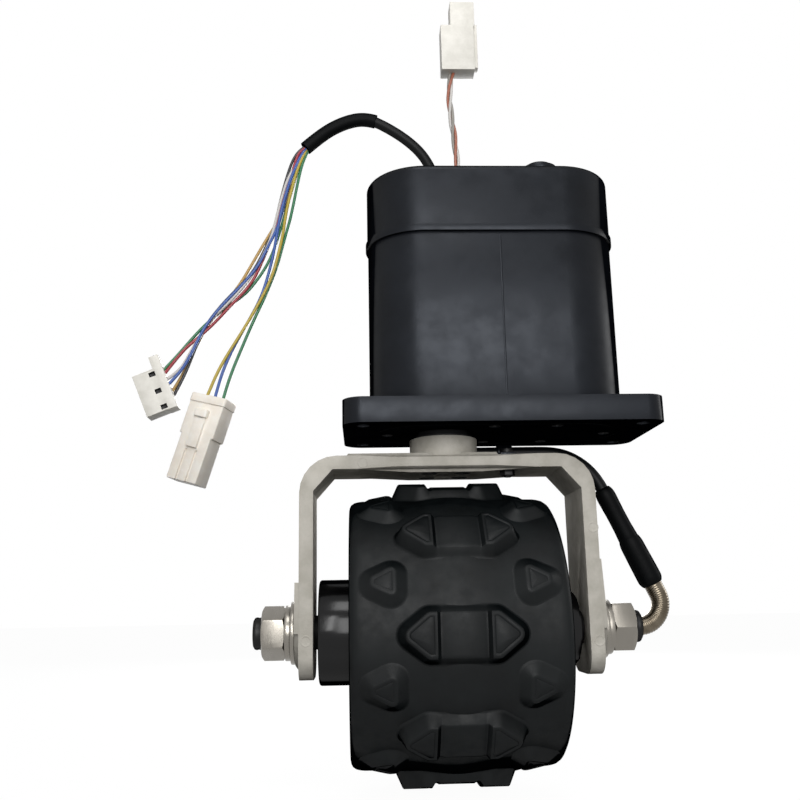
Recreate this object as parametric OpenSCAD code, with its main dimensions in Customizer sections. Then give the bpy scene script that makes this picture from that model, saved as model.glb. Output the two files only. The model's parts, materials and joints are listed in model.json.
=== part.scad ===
// Powered steering wheel unit of a robot mower: a steering gear housing on a bolted flange,
// a hollow output shaft, a cast fork, and a hub motor wheel on a fixed axle.
// Millimetres, +Z up. The origin is the centre of the flange's bolt pattern, on its top face.

/* [Steering housing] */
// Length of the housing body along X
body_l = 104; // [100:1:112]
// Depth of the housing body along Y
body_d = 48; // [47:1:56]
// Height of the housing body above the flange
body_h = 70; // [66:1:84]
// Wall of the housing mouldings
wall = 3; // [2.5:0.1:3.2]
// Height of the cap above the body
cap_h = 29.5; // [24:0.5:36]
// How far the cap stands proud of the body all round
cap_over = 0.3; // [0.1:0.1:0.6]
// Height of the lip band round the foot of the cap
lip_h = 3.2; // [2:0.1:5]
// How far the lip band stands proud of the cap
lip_over = 0.7; // [0.4:0.1:1.2]
// Rounding of the cap's top edge
cap_round = 2.5; // [1:0.5:4]

/* [Mounting flange] */
// Length of the flange along X
flange_l = 126; // [122:1:140]
// Depth of the flange along Y
flange_d = 60; // [58:1:72]
// Thickness of the flange
flange_t = 10; // [9.6:0.1:14]
// Corner radius of the flange
flange_r = 8; // [5:0.5:10]
// Distance of each bolt hole from the flange's edges
bolt_inset = 8; // [7:0.5:9]
// Diameter of the four bolt holes
bolt_hole_d = 5.5; // [4.5:0.1:6.5]
// Thickness of the inset bottom cover
cover_t = 2.5; // [2:0.1:3]
// Margin of the bottom cover inside the body's outline
cover_margin = 2; // [1.5:0.1:2.2]

/* [Steering shaft] */
// Position of the steering axis along X
steer_x = -22; // [-23:0.5:-21]
// Diameter of the shaft at its bearings
shaft_d = 17; // [15:0.5:17.5]
// Diameter of the shaft's shoulder, where the seal runs
shoulder_d = 20; // [19:0.5:22]
// Diameter of the output boss that carries the fork
boss_d = 27.6; // [26:0.2:30]
// Height of the output boss
boss_h = 8.1; // [7:0.1:8.6]
// Bore of the hollow shaft
shaft_bore_d = 9; // [8:0.2:10]
// Outer diameter of the shaft bearings
shaft_bearing_d = 30; // [28:0.5:31]
// Width of the shaft bearings
shaft_bearing_w = 7; // [6:0.5:8]

/* [Gear train] */
// Gear module
gear_m = 1; // [0.95:0.01:1.02]
// Teeth of the output gear
out_teeth = 36; // [34:1:36]
// Teeth of the idler gear
idler_teeth = 25; // [23:1:25]
// Teeth of the motor pinion
pinion_teeth = 14; // [12:1:14]
// Face width of the gears
gear_w = 8; // [6:0.5:9]
// Backlash along the pitch circle
backlash = 0.2; // [0.12:0.02:0.3]
// Diameter of the idler pin
idler_pin_d = 6; // [5:0.5:7]

/* [Steering motor] */
// Diameter of the steering motor
can_d = 29; // [27:0.5:30]
// Length of the steering motor's can
can_l = 46; // [40:1:50]
// Depth of the motor's shaft inside the motor
motor_shaft_l = 20; // [15:1:25]
// Radius of the boss that centres the motor in its plate
motor_boss_r = 5; // [4.5:0.1:6]
// Height of the motor plate's lower face above the flange
plate_z = 20; // [19:0.5:24]
// Thickness of the motor plate
plate_t = 5; // [4:0.5:6]

/* [Fork] */
// Gap between the flange's underside and the fork
fork_gap = 10.5; // [10:0.1:13]
// Outer width of the fork
fork_w = 116; // [114:1:124]
// Depth of the fork along Y
fork_d = 31; // [28:1:34]
// Thickness of the fork's top plate
fork_plate_t = 5.3; // [4.5:0.1:6]
// Thickness of the fork's legs
leg_t = 5.4; // [4.5:0.1:5.8]
// Gap between the fork's top face and the tyre
tyre_gap = 10; // [9:0.5:16]
// Thickness of the raised pad round each axle hole
pad_t = 1.8; // [1:0.1:2.5]
// Radius of the fork's outer corners
fork_corner = 14.5; // [12:0.5:15]
// Length of the fork's legs below the axle
leg_end = 17.4; // [16:0.2:19]
// Height of the left pad above the axle
pad_up_left = 19; // [16:0.5:24]
// Height of the right pad above the axle
pad_up_right = 26; // [20:0.5:32]

/* [Axle] */
// Diameter of the axle's threaded ends
axle_d = 12; // [10:0.5:12.5]
// Diameter of the axle at the wheel bearings
bearing_seat_d = 15; // [14:0.5:16]
// Diameter of the axle in the stator
stator_seat_d = 20; // [19:0.5:22]
// Width across flats of the axle nuts
nut_af = 18; // [17:0.5:20]
// Thickness of the left nut
nut_left_t = 9; // [8:0.1:11]
// Thickness of the right nut
nut_right_t = 9; // [7:0.1:11]
// Outer diameter of the flat washers
washer_d = 24; // [22:0.5:26]
// Thickness of the flat washers
washer_t = 1.8; // [1.4:0.1:2.5]
// Thickness of the spring washers
lock_t = 2.2; // [1.6:0.1:2.6]
// Thread that stands out of each nut
thread_out = 3.5; // [2.5:0.1:5]

/* [Wheel] */
// Diameter of the wheel over its lugs
wheel_d = 115; // [112:1:117]
// Width of the tyre
tyre_w = 78; // [74:1:80]
// Height of the lugs above the tyre's tread
lug_h = 4; // [3:0.25:5]
// Number of lugs round the wheel in each row
lug_count = 9; // [8:1:9]
// Thickness of the tyre's rubber under its tread
tread_t = 7.5; // [6.5:0.5:8.5]
// Wall of the wheel's drum
drum_t = 5; // [4.6:0.1:5.4]
// Depth of the covers inside the tyre's sides
cover_depth = 3; // [2:0.5:5]
// Thickness of the wheel's side covers
side_cover_t = 5; // [4:0.5:6]
// Offset of the wheel from the steering axis along X
wheel_off = 0.3; // [0:0.1:1.5]
// Diameter of the left hub boss
left_boss_d = 40; // [39.5:0.5:44]
// Gap between the left hub boss and the fork's leg
left_boss_gap = 2; // [1.4:0.1:3]
// Diameter of the right hub boss
right_boss_d = 28; // [26:1:34]
// Gap between the right hub boss and the fork's leg
right_boss_gap = 2.6; // [1.4:0.1:4]
// Outer diameter of the wheel bearings
wheel_bearing_d = 35; // [33:0.5:35.5]
// Width of the wheel bearings
wheel_bearing_w = 11; // [9:0.5:11.5]

/* [Hub motor] */
// Length of the stator stack
stator_l = 30; // [26:1:32]
// Air gap between the stator and the magnets
air_gap = 0.7; // [0.5:0.1:1.2]
// Number of stator slots
slots = 18; // [15:3:18]
// Number of magnets
poles = 20; // [16:2:20]
// Thickness of the magnets
magnet_t = 2.5; // [2:0.1:2.8]
// Thickness of the steel ring behind the magnets
flux_ring_t = 2; // [1.5:0.1:2.2]

/* [Cables] */
// Diameter of the hub motor cable
hub_cable_d = 5; // [4:0.2:5.6]
// Diameter of the bent guard tube
guard_d = 7.4; // [6:0.1:7.8]
// Bend radius of the guard tube
guard_bend_r = 9; // [8:0.5:11]
// Diameter of the lower shrink sleeve
sleeve_low_d = 9.8; // [8.8:0.1:10.4]
// Diameter of the upper shrink sleeve
sleeve_up_d = 8; // [7:0.1:8.5]
// Diameter of the free lead's jacket
lead_d = 4.5; // [4:0.1:5]
// Diameter of the steering lead's three wires together
steer_lead_d = 3.6; // [3:0.1:4]

/* [Hidden] */

$fn = 96;
eps = 0.01;
// Clearance of a seated piece in its recess, and of a screw in its hole
fit = 0.1;
// Radial clearance of a running fit
run = 0.05;

black = [0.11, 0.12, 0.13];
rubber = [0.08, 0.085, 0.09];
cast = [0.71, 0.69, 0.66];
steel = [0.76, 0.75, 0.73];
brass = [0.78, 0.66, 0.36];
nylon = [0.90, 0.88, 0.82];
board_green = [0.10, 0.35, 0.22];
copper = [0.72, 0.42, 0.22];
ivory = [0.91, 0.88, 0.82];

// Housing outline: the centres of its round ends
arc_x = (body_l - body_d) / 2;
cap_top = body_h + cap_h;
inner_d = body_d - 2 * wall;
inner_l = body_l - 2 * wall;
bolt_dx = flange_l - 2 * bolt_inset;
bolt_dy = flange_d - 2 * bolt_inset;

// Screw bosses in the body, shared by the screws from below and those from the cap
boss_pts = [for (s = [-1, 1]) [-arc_x - 13, s * (body_d / 2 - 10.5)],
            for (s = [-1, 1]) [arc_x + 10, s * (body_d / 2 - 8)]];
boss_post_r = 3.3;
screw_r = 1.5;
screw_head_r = 2.75;
screw_head_h = 2.4;
screw_reach = 10;

// Gear train, from the steering axis to the motor along +X
out_r = gear_m * out_teeth / 2;
idler_r = gear_m * idler_teeth / 2;
pinion_r = gear_m * pinion_teeth / 2;
idler_x = steer_x + out_r + idler_r;
motor_x = idler_x + idler_r + pinion_r;
shaft_bearing_z = -3;
seal_z = -flange_t + cover_t;
gear_z = shaft_bearing_z + shaft_bearing_w + 4;
gear_hub_r = shaft_d / 2 + 2;
plate_top = plate_z + plate_t;
ring_z = plate_z + shaft_bearing_w;
shaft_top = ring_z + 8;
bearing_wall = 4;
motor_shaft_r = 1.6;

// Pillars of the base that carry the motor plate
pillar_r = 2.6;
pillar_pts = [[steer_x - out_r - gear_m - pillar_r - 0.9, 0],
              [motor_x + can_d / 2 + 3.5, 0],
              [steer_x + out_r + 3, body_d / 2 - wall - 3.5],
              [steer_x + out_r + 3, wall + 3.5 - body_d / 2]];

// Heights of the steering shaft's boss and of the fork
fork_top = -flange_t - fork_gap;
boss_top = fork_top + boss_h;
axle_drop = wheel_d / 2 + tyre_gap;
axle_z = fork_top - axle_drop;
leg_in = fork_w / 2 - leg_t;
left_leg = steer_x - fork_w / 2;
right_leg = steer_x + fork_w / 2;
fork_bolt_r = 9.6;
fork_bolt_d = 4;
fork_head_r = 3.4;
fork_head_h = 2.2;
fork_pad_t = 1.2;
fork_rise = 1.2;
inner_bend = 7.5;
leg_end_r = 9;

// Stack on each axle end, outwards from the leg
washer_off = pad_t;
lock_off = washer_off + washer_t;
nut_off = lock_off + lock_t;
axle_left = left_leg - nut_off - nut_left_t - thread_out;
axle_right = right_leg + nut_off + nut_right_t + thread_out;

// Wheel, along X
wheel_x = steer_x + wheel_off;
cover_half = tyre_w / 2 - cover_depth;
drum_half = cover_half - side_cover_t;
left_boss_end = steer_x - leg_in + left_boss_gap;
right_boss_end = steer_x + leg_in - right_boss_gap;
boss_wall = 1.6;
left_bearing_x = left_boss_end + boss_wall;
right_bearing_x = wheel_x + drum_half - wheel_bearing_w + 1;
tread_r = wheel_d / 2 - lug_h;
drum_d = 2 * (tread_r - tread_t);
drum_in_r = drum_d / 2 - drum_t;
magnet_out_r = drum_in_r - flux_ring_t;
magnet_in_r = magnet_out_r - magnet_t;
stator_d = 2 * (magnet_in_r - air_gap);
bearing_shoulder_r = bearing_seat_d / 2 + 2;
hall_x = wheel_x - stator_l / 2 - 9;
coil_over = 4.5;

// Guard tube and sleeves: the tube turns up from the axle's end and leans inwards
lean = 25;
guard_x = axle_right;
guard_z = axle_z + guard_bend_r;
guard_straight = 5;
guard_end = [guard_x + guard_bend_r * cos(lean), guard_z + guard_bend_r * sin(lean)];
sleeve_low_l = 19;
sleeve_up_l = 22.5;
sleeve_grip = 5;
sleeve_start = guard_end + guard_straight * [-sin(lean), cos(lean)];
sleeve_mid = sleeve_start + sleeve_low_l * [-sin(lean), cos(lean)];
sleeve_top = sleeve_mid + sleeve_up_l * [-sin(lean), cos(lean)];
guard_bore_d = 3.6;
on_sleeve = [-sin(lean), 0, cos(lean)];
sleeve_out = [sleeve_top[0], 0, sleeve_top[1]];

// Cable along the fork's top plate
cable_z = fork_top + hub_cable_d / 2 + 0.1;
clip_x = steer_x + 25;
clip_w = 6;
clip_t = 1;
clip_screw_y = -7;

// Where the leads leave the cap
hub_exit = [steer_x, 0];
steer_exit = [steer_x + 10.5, 0];
grommet_h = 2;
grommet_z = cap_top + grommet_h;
vent_pos = [21, -14];

// Routes of the leads: the first two from where they leave the cap, the others from the split
function from(start, steps) = [for (p = steps) start + p];
hub_lead_route = from([hub_exit[0], 0, cap_top], [[0, 0, -5.5], [0, 0, 2], [-0.6, 0, 6.5], [-2.6, 0, 11.5],
    [-6, 0, 17.5], [-12, 0, 23.5], [-19, 0, 28.5], [-26, 0, 32.5], [-31, 0, 34], [-37, 0, 33], [-44, 0, 30],
    [-50, 0, 26], [-57, 0, 19.5]]);
split = [hub_exit[0] - 57, 0, cap_top + 19.5];
hall_route = from(split, [[0, 0, 0], [-4, 1, -8], [-7, 2, -17], [-11, 2, -27], [-14, 2, -37], [-19, 2, -51],
    [-26, 2, -63], [-34, 1, -72], [-42, 0, -81], [-47, 0, -88], [-51, 0, -96], [-55.6, 0, -105.4]]);
phase_route = from(split, [[0, 0, 0], [-2, -2, -8], [-5, -3, -17], [-8, -3, -29], [-12, -3, -43],
    [-15, -2, -57], [-19, -1, -71], [-24, 0, -83], [-30, 0, -95], [-34, 0, -105], [-37, 0, -113]]);
steer_route = from([steer_exit[0], 0, cap_top], [[0, 0, -4.5], [0, 0, 2], [-0.2, 0, 8.5], [-0.7, 0, 16.5],
    [-1.5, 0, 26.5], [-2.5, 0, 36.5], [-3.1, 0, 46.5], [-2.3, 0, 56.5]]);

// Connectors: centre of the wire end, and the angle that turns -Z to the body's direction
hall_conn = split + [-55.75, 0, -105.5];
hall_conn_turn = 68;
phase_conn = split + [-37, 0, -113];
phase_conn_turn = 17;
phase_conn_roll = -20;
steer_conn = [steer_exit[0] + 1, 0, cap_top + 56.5];

// Outline of a housing with round ends
module stadium(l, d, h) {
    for (s = [-1, 1])
        translate([s * (l - d) / 2, 0, 0]) cylinder(d = d, h = h);
    translate([-(l - d) / 2, -d / 2, 0]) cube([l - d, d, h]);
}

// Half of a section whose top edge is rounded
module soft_half(half, h, r) {
    square([half, h - r]);
    square([half - r, h]);
    translate([half - r, h - r]) circle(r);
}

// Stadium with a rounded top edge
module soft_stadium(l, d, h, r) {
    span = l - d;
    for (s = [-1, 1])
        translate([s * span / 2, 0, 0]) rotate_extrude() intersection() {
            soft_half(d / 2, h, r);
            square([d, h]);
        }
    translate([-span / 2, 0, 0]) rotate([90, 0, 90]) linear_extrude(span)
        for (m = [0, 1]) mirror([m, 0]) soft_half(d / 2, h, r);
}

// Plate with rounded corners, from z = 0 upwards
module rounded_plate(l, d, h, r) {
    for (x = [-1, 1], y = [-1, 1])
        translate([x * (l / 2 - r), y * (d / 2 - r), 0]) cylinder(r = r, h = h);
    translate([-l / 2 + r, -d / 2, 0]) cube([l - 2 * r, d, h]);
    translate([-l / 2, -d / 2 + r, 0]) cube([l, d - 2 * r, h]);
}

// Cylinder along +X from x, on the axle's line
module on_axle(x, l, r) translate([x, 0, axle_z]) rotate([0, 90, 0]) cylinder(r = r, h = l);

// Ring along +X from x, on the axle's line
module axle_ring(x, l, r_out, r_in) difference() {
    on_axle(x, l, r_out);
    on_axle(x - 1, l + 2, r_in);
}

module ring(z, h, r_out, r_in) translate([0, 0, z]) difference() {
    cylinder(r = r_out, h = h);
    translate([0, 0, -1]) cylinder(r = r_in, h = h + 2);
}

// Involute gear outline, with a tooth centred on +X
function inv_deg(a) = tan(a) * 180 / PI - a;
function flank_angle(r, base, half) = half - inv_deg(r > base ? acos(base / r) : 0);
function polar(r, a) = [r * cos(a), r * sin(a)];
function tooth(m, n, lash) =
    let (pitch = m * n / 2, base = pitch * cos(20), root = pitch - 1.25 * m, tip = pitch + m,
         half = 90 / n - lash / pitch * 45 / PI + inv_deg(20), first = max(base, root + 0.05),
         radii = [for (i = [0 : 4]) first + (tip - first) * i / 4])
    concat([polar(root, -flank_angle(first, base, half))],
           [for (r = radii) polar(r, -flank_angle(r, base, half))],
           [for (i = [4 : -1 : 0]) polar(radii[i], flank_angle(radii[i], base, half))],
           [polar(root, flank_angle(first, base, half))]);
function turned(p, a) = [p[0] * cos(a) - p[1] * sin(a), p[0] * sin(a) + p[1] * cos(a)];

module gear(m, n, w, lash, phase) linear_extrude(w)
    polygon([for (k = [0 : n - 1], p = tooth(m, n, lash)) turned(p, phase + k * 360 / n)]);

// Round tube swept along a route in the XZ plane or near it
function unit(v) = v / norm(v);
function along(route, i) = unit(route[min(i + 1, len(route) - 1)] - route[max(i - 1, 0)]);
function ring_at(route, i, r, n) =
    let (t = along(route, i), u = unit(cross([0, 1, 0], t)), v = cross(t, u))
    [for (k = [0 : n - 1]) route[i] + r * (cos(360 * k / n) * u + sin(360 * k / n) * v)];

module tube(route, r, n = 8) {
    last = len(route) - 1;
    points = [for (i = [0 : last], p = ring_at(route, i, r, n)) p];
    sides = [for (i = [0 : last - 1], k = [0 : n - 1])
        [i * n + k, (i + 1) * n + k, (i + 1) * n + (k + 1) % n, i * n + (k + 1) % n]];
    start = [for (k = [0 : n - 1]) k];
    end = [for (k = [n - 1 : -1 : 0]) last * n + k];
    polyhedron(points, concat(sides, [start, end]), convexity = 4);
}

// Hollow tube swept along a route
module pipe(route, r_out, r_in, n) {
    last = len(route) - 1;
    inner = (last + 1) * n;
    points = [for (r = [r_out, r_in], i = [0 : last], p = ring_at(route, i, r, n)) p];
    faces = [for (i = [0 : last - 1], k = [0 : n - 1], m = [0, 1]) let (j = (k + 1) % n)
        m == 0 ? [i * n + k, (i + 1) * n + k, (i + 1) * n + j, i * n + j]
               : [for (v = [i * n + j, (i + 1) * n + j, (i + 1) * n + k, i * n + k]) inner + v]];
    rims = [for (k = [0 : n - 1], m = [0, 1]) let (j = (k + 1) % n)
        m == 0 ? [k, j, inner + j, inner + k]
               : [last * n + j, last * n + k, inner + last * n + k, inner + last * n + j]];
    polyhedron(points, concat(faces, rims), convexity = 4);
}

// Socket head screw pointing down from z, with its head above
module screw_down(z, reach, r, head_r, head_h) translate([0, 0, z]) {
    translate([0, 0, -reach]) cylinder(r = r, h = reach);
    difference() {
        cylinder(r = head_r, h = head_h);
        translate([0, 0, head_h * 0.45]) cylinder(r = head_r * 0.5, h = head_h, $fn = 6);
    }
}

// Steering housing

module base_flange() color(black) difference() {
    union() {
        translate([0, 0, -flange_t]) rounded_plate(flange_l, flange_d, flange_t, flange_r);
        difference() {
            stadium(inner_l - 2 * fit, inner_d - 2 * fit, 3);
            translate([0, 0, -1]) stadium(inner_l - 4, inner_d - 4, 5);
            for (p = boss_pts) translate([p[0], p[1], -1]) cylinder(r = boss_post_r + 0.3, h = 5);
        }
        translate([steer_x, 0, 0])
            cylinder(r = shaft_bearing_d / 2 + bearing_wall, h = shaft_bearing_z + shaft_bearing_w);
        for (p = pillar_pts) translate([p[0], p[1], -1]) cylinder(r = pillar_r, h = plate_z + 1);
    }
    for (x = [-1, 1], y = [-1, 1])
        translate([x * bolt_dx / 2, y * bolt_dy / 2, -flange_t - 1])
            cylinder(d = bolt_hole_d, h = flange_t + 2);
    translate([0, 0, -flange_t - 1])
        stadium(body_l - 2 * cover_margin + 2 * fit, body_d - 2 * cover_margin + 2 * fit, cover_t + 1);
    translate([steer_x, 0, -flange_t - 1]) cylinder(d = shaft_bearing_d, h = flange_t + 12);
    translate([idler_x, 0, -4]) cylinder(d = idler_pin_d, h = 6);
    for (p = boss_pts) translate([p[0], p[1], -flange_t]) {
        cylinder(r = screw_r + fit, h = flange_t + 1);
        cylinder(r = screw_head_r + fit, h = cover_t + screw_head_h);
    }
    for (p = pillar_pts) translate([p[0], p[1], plate_z - screw_reach])
        cylinder(r = screw_r, h = screw_reach + 1);
    for (p = cover_screw_pts) translate([p[0], p[1], -flange_t]) cylinder(r = 1.25, h = flange_t - 2);
}

// Screws of the bottom cover, on an oval inside its edge
cover_screw_pts = [for (s = [-1, 1]) [s * (body_l / 2 - 7), 0],
                   for (s = [-1, 1]) [-3, s * (body_d / 2 - 6)],
                   for (s = [-1, 1]) [motor_x - 6, s * (body_d / 2 - 6)]];

module bottom_cover() color(black) difference() {
    translate([0, 0, -flange_t]) stadium(body_l - 2 * cover_margin, body_d - 2 * cover_margin, cover_t);
    translate([steer_x, 0, -flange_t - 1]) cylinder(d = shoulder_d + 6, h = cover_t + 2);
    for (p = cover_screw_pts) translate([p[0], p[1], -flange_t - 1]) {
        cylinder(r = 1.25 + fit, h = cover_t + 2);
        cylinder(r = 2.4, h = 2.3);
    }
}

module bottom_cover_screws() color(steel)
    for (p = cover_screw_pts) translate([p[0], p[1], 0]) mirror([0, 0, 1])
        screw_down(flange_t - 1.3, 5, 1.25, 2.3, 1.2);

module housing_body() color(black) difference() {
    union() {
        difference() {
            stadium(body_l, body_d, body_h);
            translate([0, 0, -1]) stadium(inner_l, inner_d, body_h + 2);
        }
        intersection() {
            for (p = boss_pts) translate([p[0], p[1], 0]) cylinder(r = boss_post_r, h = body_h);
            stadium(body_l - wall, body_d - wall, body_h);
        }
    }
    for (p = boss_pts) {
        translate([p[0], p[1], -1]) cylinder(r = screw_r + fit, h = 13);
        translate([p[0], p[1], body_h - 12]) cylinder(r = screw_r + fit, h = 13);
    }
    translate([0, 0, body_h - 1.5]) seal_loop(2, fit);
}

// Loop of the cap's seal, grown on both sides by a clearance
module seal_loop(h, grow) difference() {
    stadium(body_l - 1.6 + 2 * grow, body_d - 1.6 + 2 * grow, h);
    translate([0, 0, -1]) stadium(body_l - 3.8 - 2 * grow, body_d - 3.8 - 2 * grow, h + 2);
}

module cap_seal() color(rubber) translate([0, 0, body_h - 1.5]) seal_loop(1.5, 0);

module body_screws() color(steel)
    for (p = boss_pts) translate([p[0], p[1], 0]) mirror([0, 0, 1])
        screw_down(flange_t - cover_t - screw_head_h, flange_t + 2, screw_r, screw_head_r, screw_head_h);

module top_cap() color(black) difference() {
    union() {
        translate([0, 0, body_h])
            soft_stadium(body_l + 2 * cap_over, body_d + 2 * cap_over, cap_h, cap_round);
        translate([0, 0, body_h])
            stadium(body_l + 2 * cap_over + 2 * lip_over, body_d + 2 * cap_over + 2 * lip_over, lip_h);
    }
    difference() {
        translate([0, 0, body_h - 1]) stadium(inner_l, inner_d, cap_h - wall + 1);
        for (p = boss_pts) translate([p[0], p[1], body_h - 2]) cylinder(r = boss_post_r, h = cap_h);
    }
    for (p = boss_pts) translate([p[0], p[1], 0]) {
        translate([0, 0, body_h - 1]) cylinder(r = screw_r + fit, h = cap_h + 2);
        translate([0, 0, cap_top - 3]) cylinder(r = screw_head_r + fit, h = 4);
    }
    translate([hub_exit[0], hub_exit[1], cap_top - wall - 1]) cylinder(r = lead_d / 2 + 1.75, h = wall + 2);
    translate([steer_exit[0], steer_exit[1], cap_top - wall - 1])
        cylinder(r = steer_lead_d / 2 + 1.4, h = wall + 2);
    translate([vent_pos[0], vent_pos[1], cap_top - wall - 1]) cylinder(r = 4.1, h = wall + 2);
}

module cap_screws() color(steel)
    for (p = boss_pts) translate([p[0], p[1], 0])
        screw_down(cap_top - 3, cap_h - 3 + 10, screw_r, screw_head_r, screw_head_h);

module vent_plug() color(black) translate([vent_pos[0], vent_pos[1], cap_top]) difference() {
    union() {
        cylinder(d = 15, h = 3.8);
        cylinder(d = 11, h = 6);
        translate([0, 0, -wall]) cylinder(r = 4, h = wall + 1);
    }
    translate([-8, -1, 4.4]) cube([16, 2, 3]);
}

// Rubber grommet in the cap's top round a lead
module grommet(x, y, bore, body_r) color(rubber) translate([x, y, cap_top]) difference() {
    union() {
        cylinder(r = body_r + 1.2, h = grommet_h);
        translate([0, 0, -wall]) cylinder(r = body_r, h = wall + eps);
    }
    translate([0, 0, -wall - 3]) cylinder(r = bore, h = wall + grommet_h + 4);
}

module cable_grommet() grommet(hub_exit[0], hub_exit[1], lead_d / 2 + run, lead_d / 2 + 1.65);

module lead_grommet() grommet(steer_exit[0], steer_exit[1], steer_lead_d / 2 + run, steer_lead_d / 2 + 1.3);

module lower_bearing() color(steel) translate([steer_x, 0, 0])
    ball_bearing(shaft_bearing_z, shaft_bearing_w, shaft_bearing_d / 2, shaft_d / 2 + run);

module upper_bearing() color(steel) translate([steer_x, 0, 0])
    ball_bearing(plate_z, shaft_bearing_w, shaft_bearing_d / 2, shaft_d / 2 + run);

// Shielded ball bearing, with its shields set back between the rings
module ball_bearing(z, w, r_out, r_in) {
    land = (r_out - r_in) * 0.3;
    ring(z, w, r_out, r_out - land);
    ring(z, w, r_in + land, r_in);
    ring(z + 0.5, w - 1, r_out - land + eps, r_in + land - eps);
}

module shaft_seal() color(rubber) translate([steer_x, 0, 0])
    ring(seal_z, shaft_bearing_z - seal_z, shaft_bearing_d / 2, shoulder_d / 2 + run);

module motor_plate() color(steel) difference() {
    union() {
        translate([0, 0, plate_z])
            stadium(inner_l - 2 * fit, inner_d - 2 * fit, plate_t);
        translate([steer_x, 0, plate_z])
            cylinder(r = shaft_bearing_d / 2 + 2.5, h = shaft_bearing_w);
        for (p = board_posts) translate([p[0], p[1], plate_z]) cylinder(r = 2, h = board_z - plate_z);
    }
    for (p = boss_pts) translate([p[0], p[1], plate_z - 1]) cylinder(r = boss_post_r + 0.3, h = plate_t + 2);
    translate([steer_x, 0, plate_z - 1]) cylinder(d = shaft_bearing_d, h = shaft_bearing_w + 2);
    translate([idler_x, 0, plate_z - 1]) cylinder(d = idler_pin_d, h = 3);
    translate([motor_x, 0, plate_z - 1]) cylinder(r = motor_boss_r + fit, h = plate_t + 2);
    for (p = pillar_pts) translate([p[0], p[1], plate_z - 1]) cylinder(r = screw_r + fit, h = plate_t + 2);
}

module plate_screws() color(steel)
    for (p = pillar_pts) translate([p[0], p[1], 0])
        screw_down(plate_top, plate_t + screw_reach - 1, screw_r - 0.02, 2.6, 2);

module idler_pin() color(steel) translate([idler_x, 0, -4]) cylinder(d = idler_pin_d, h = plate_z + 6);

module steering_motor() color(steel) translate([motor_x, 0, plate_top]) difference() {
    union() {
        cylinder(d = can_d, h = can_l);
        translate([0, 0, -plate_t]) cylinder(r = motor_boss_r, h = plate_t + 1);
    }
    translate([0, 0, can_l - 1]) cylinder(d = can_d - 3, h = 2);
    translate([0, 0, -plate_t - 1]) cylinder(r = motor_shaft_r + run, h = plate_t + motor_shaft_l + 2);
}

module motor_end_bell() color(nylon) translate([motor_x, 0, plate_top + can_l - 1]) {
    cylinder(d = can_d - 3, h = 5);
    cylinder(r = 4, h = 8);
    for (s = [-1, 1]) translate([s * 8 - 0.4, -1.5, 4]) cube([0.8, 3, 6]);
}

board_z = shaft_top + 3;
board_posts = [for (x = [-10.5, 18], y = [-1, 1]) [steer_x + x, y * 13.5]];

module encoder_board() color(board_green) translate([steer_x, 0, board_z]) difference() {
    union() {
        translate([-12.5, -17, 0]) cube([34.5, 34, 1.6]);
        translate([8, -3.5, 0]) cube([7, 7, 2.9]);
        translate([16.5, -6, 0]) cube([4, 12, 5]);
    }
    translate([0, 0, -1]) cylinder(r = 5, h = 8);
}

// Steering gears

module idler_gear() color(nylon) translate([idler_x, 0, 0]) difference() {
    union() {
        translate([0, 0, gear_z]) gear(gear_m, idler_teeth, gear_w, backlash, 180 + 180 / idler_teeth);
        translate([0, 0, 0.5]) cylinder(d = idler_pin_d + 4, h = plate_z - 1);
    }
    translate([0, 0, -1]) cylinder(d = idler_pin_d + 2 * run, h = plate_z + 2);
}

// An odd idler has a tooth towards the pinion and an even one has a gap
pinion_phase = 180 + (idler_teeth % 2 == 1 ? 180 / pinion_teeth : 0);

module motor_pinion() color(brass) translate([motor_x, 0, 0]) union() {
    translate([0, 0, gear_z]) gear(gear_m, pinion_teeth, gear_w, backlash, pinion_phase);
    translate([0, 0, gear_z - 3]) cylinder(r = pinion_r - 2 * gear_m, h = gear_w + 6);
    translate([0, 0, gear_z]) cylinder(r = motor_shaft_r, h = plate_top + motor_shaft_l - gear_z);
}

// Steering shaft and what turns with it

module steering_shaft() color(steel) translate([steer_x, 0, 0]) difference() {
    union() {
        translate([0, 0, fork_top]) cylinder(d = boss_d, h = boss_h);
        translate([0, 0, boss_top - 1]) cylinder(d = shoulder_d, h = shaft_bearing_z - boss_top + 1);
        translate([0, 0, shaft_bearing_z - 1]) cylinder(d = shaft_d, h = shaft_top - shaft_bearing_z + 1);
    }
    translate([0, 0, fork_top - 1]) cylinder(d = shaft_bore_d, h = shaft_top - fork_top + 2);
    translate([0, -hub_cable_d / 2 - 0.3, fork_top - 1])
        cube([boss_d, hub_cable_d + 0.6, hub_cable_d + 2.6]);
    for (a = [45 : 90 : 315]) rotate(a) translate([fork_bolt_r, 0, fork_top - 1])
        cylinder(d = fork_bolt_d, h = 7.5);
    translate([0, 0, ring_z + 0.2]) ring(0, 1.2, shaft_d, shaft_d / 2 - 0.8);
}

module output_gear() color(nylon) translate([steer_x, 0, 0]) difference() {
    union() {
        translate([0, 0, gear_z]) gear(gear_m, out_teeth, gear_w, backlash, 0);
        translate([0, 0, shaft_bearing_z + shaft_bearing_w + run])
            cylinder(r = gear_hub_r, h = plate_z - shaft_bearing_z - shaft_bearing_w - 2 * run);
    }
    translate([0, 0, -1]) cylinder(d = shaft_d, h = plate_z + 2);
    for (a = [0 : 60 : 300]) rotate(a) translate([(gear_hub_r + out_r) / 2 - 0.5, 0, gear_z - 1])
        cylinder(r = 2, h = gear_w + 2);
}

module retaining_ring() color(steel) translate([steer_x, 0, ring_z + 0.25]) difference() {
    ring(0, 1.1, shaft_d / 2 + 1.8, shaft_d / 2 - 0.75);
    translate([0, -1.5, -1]) cube([shaft_d, 3, 4]);
}

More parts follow.
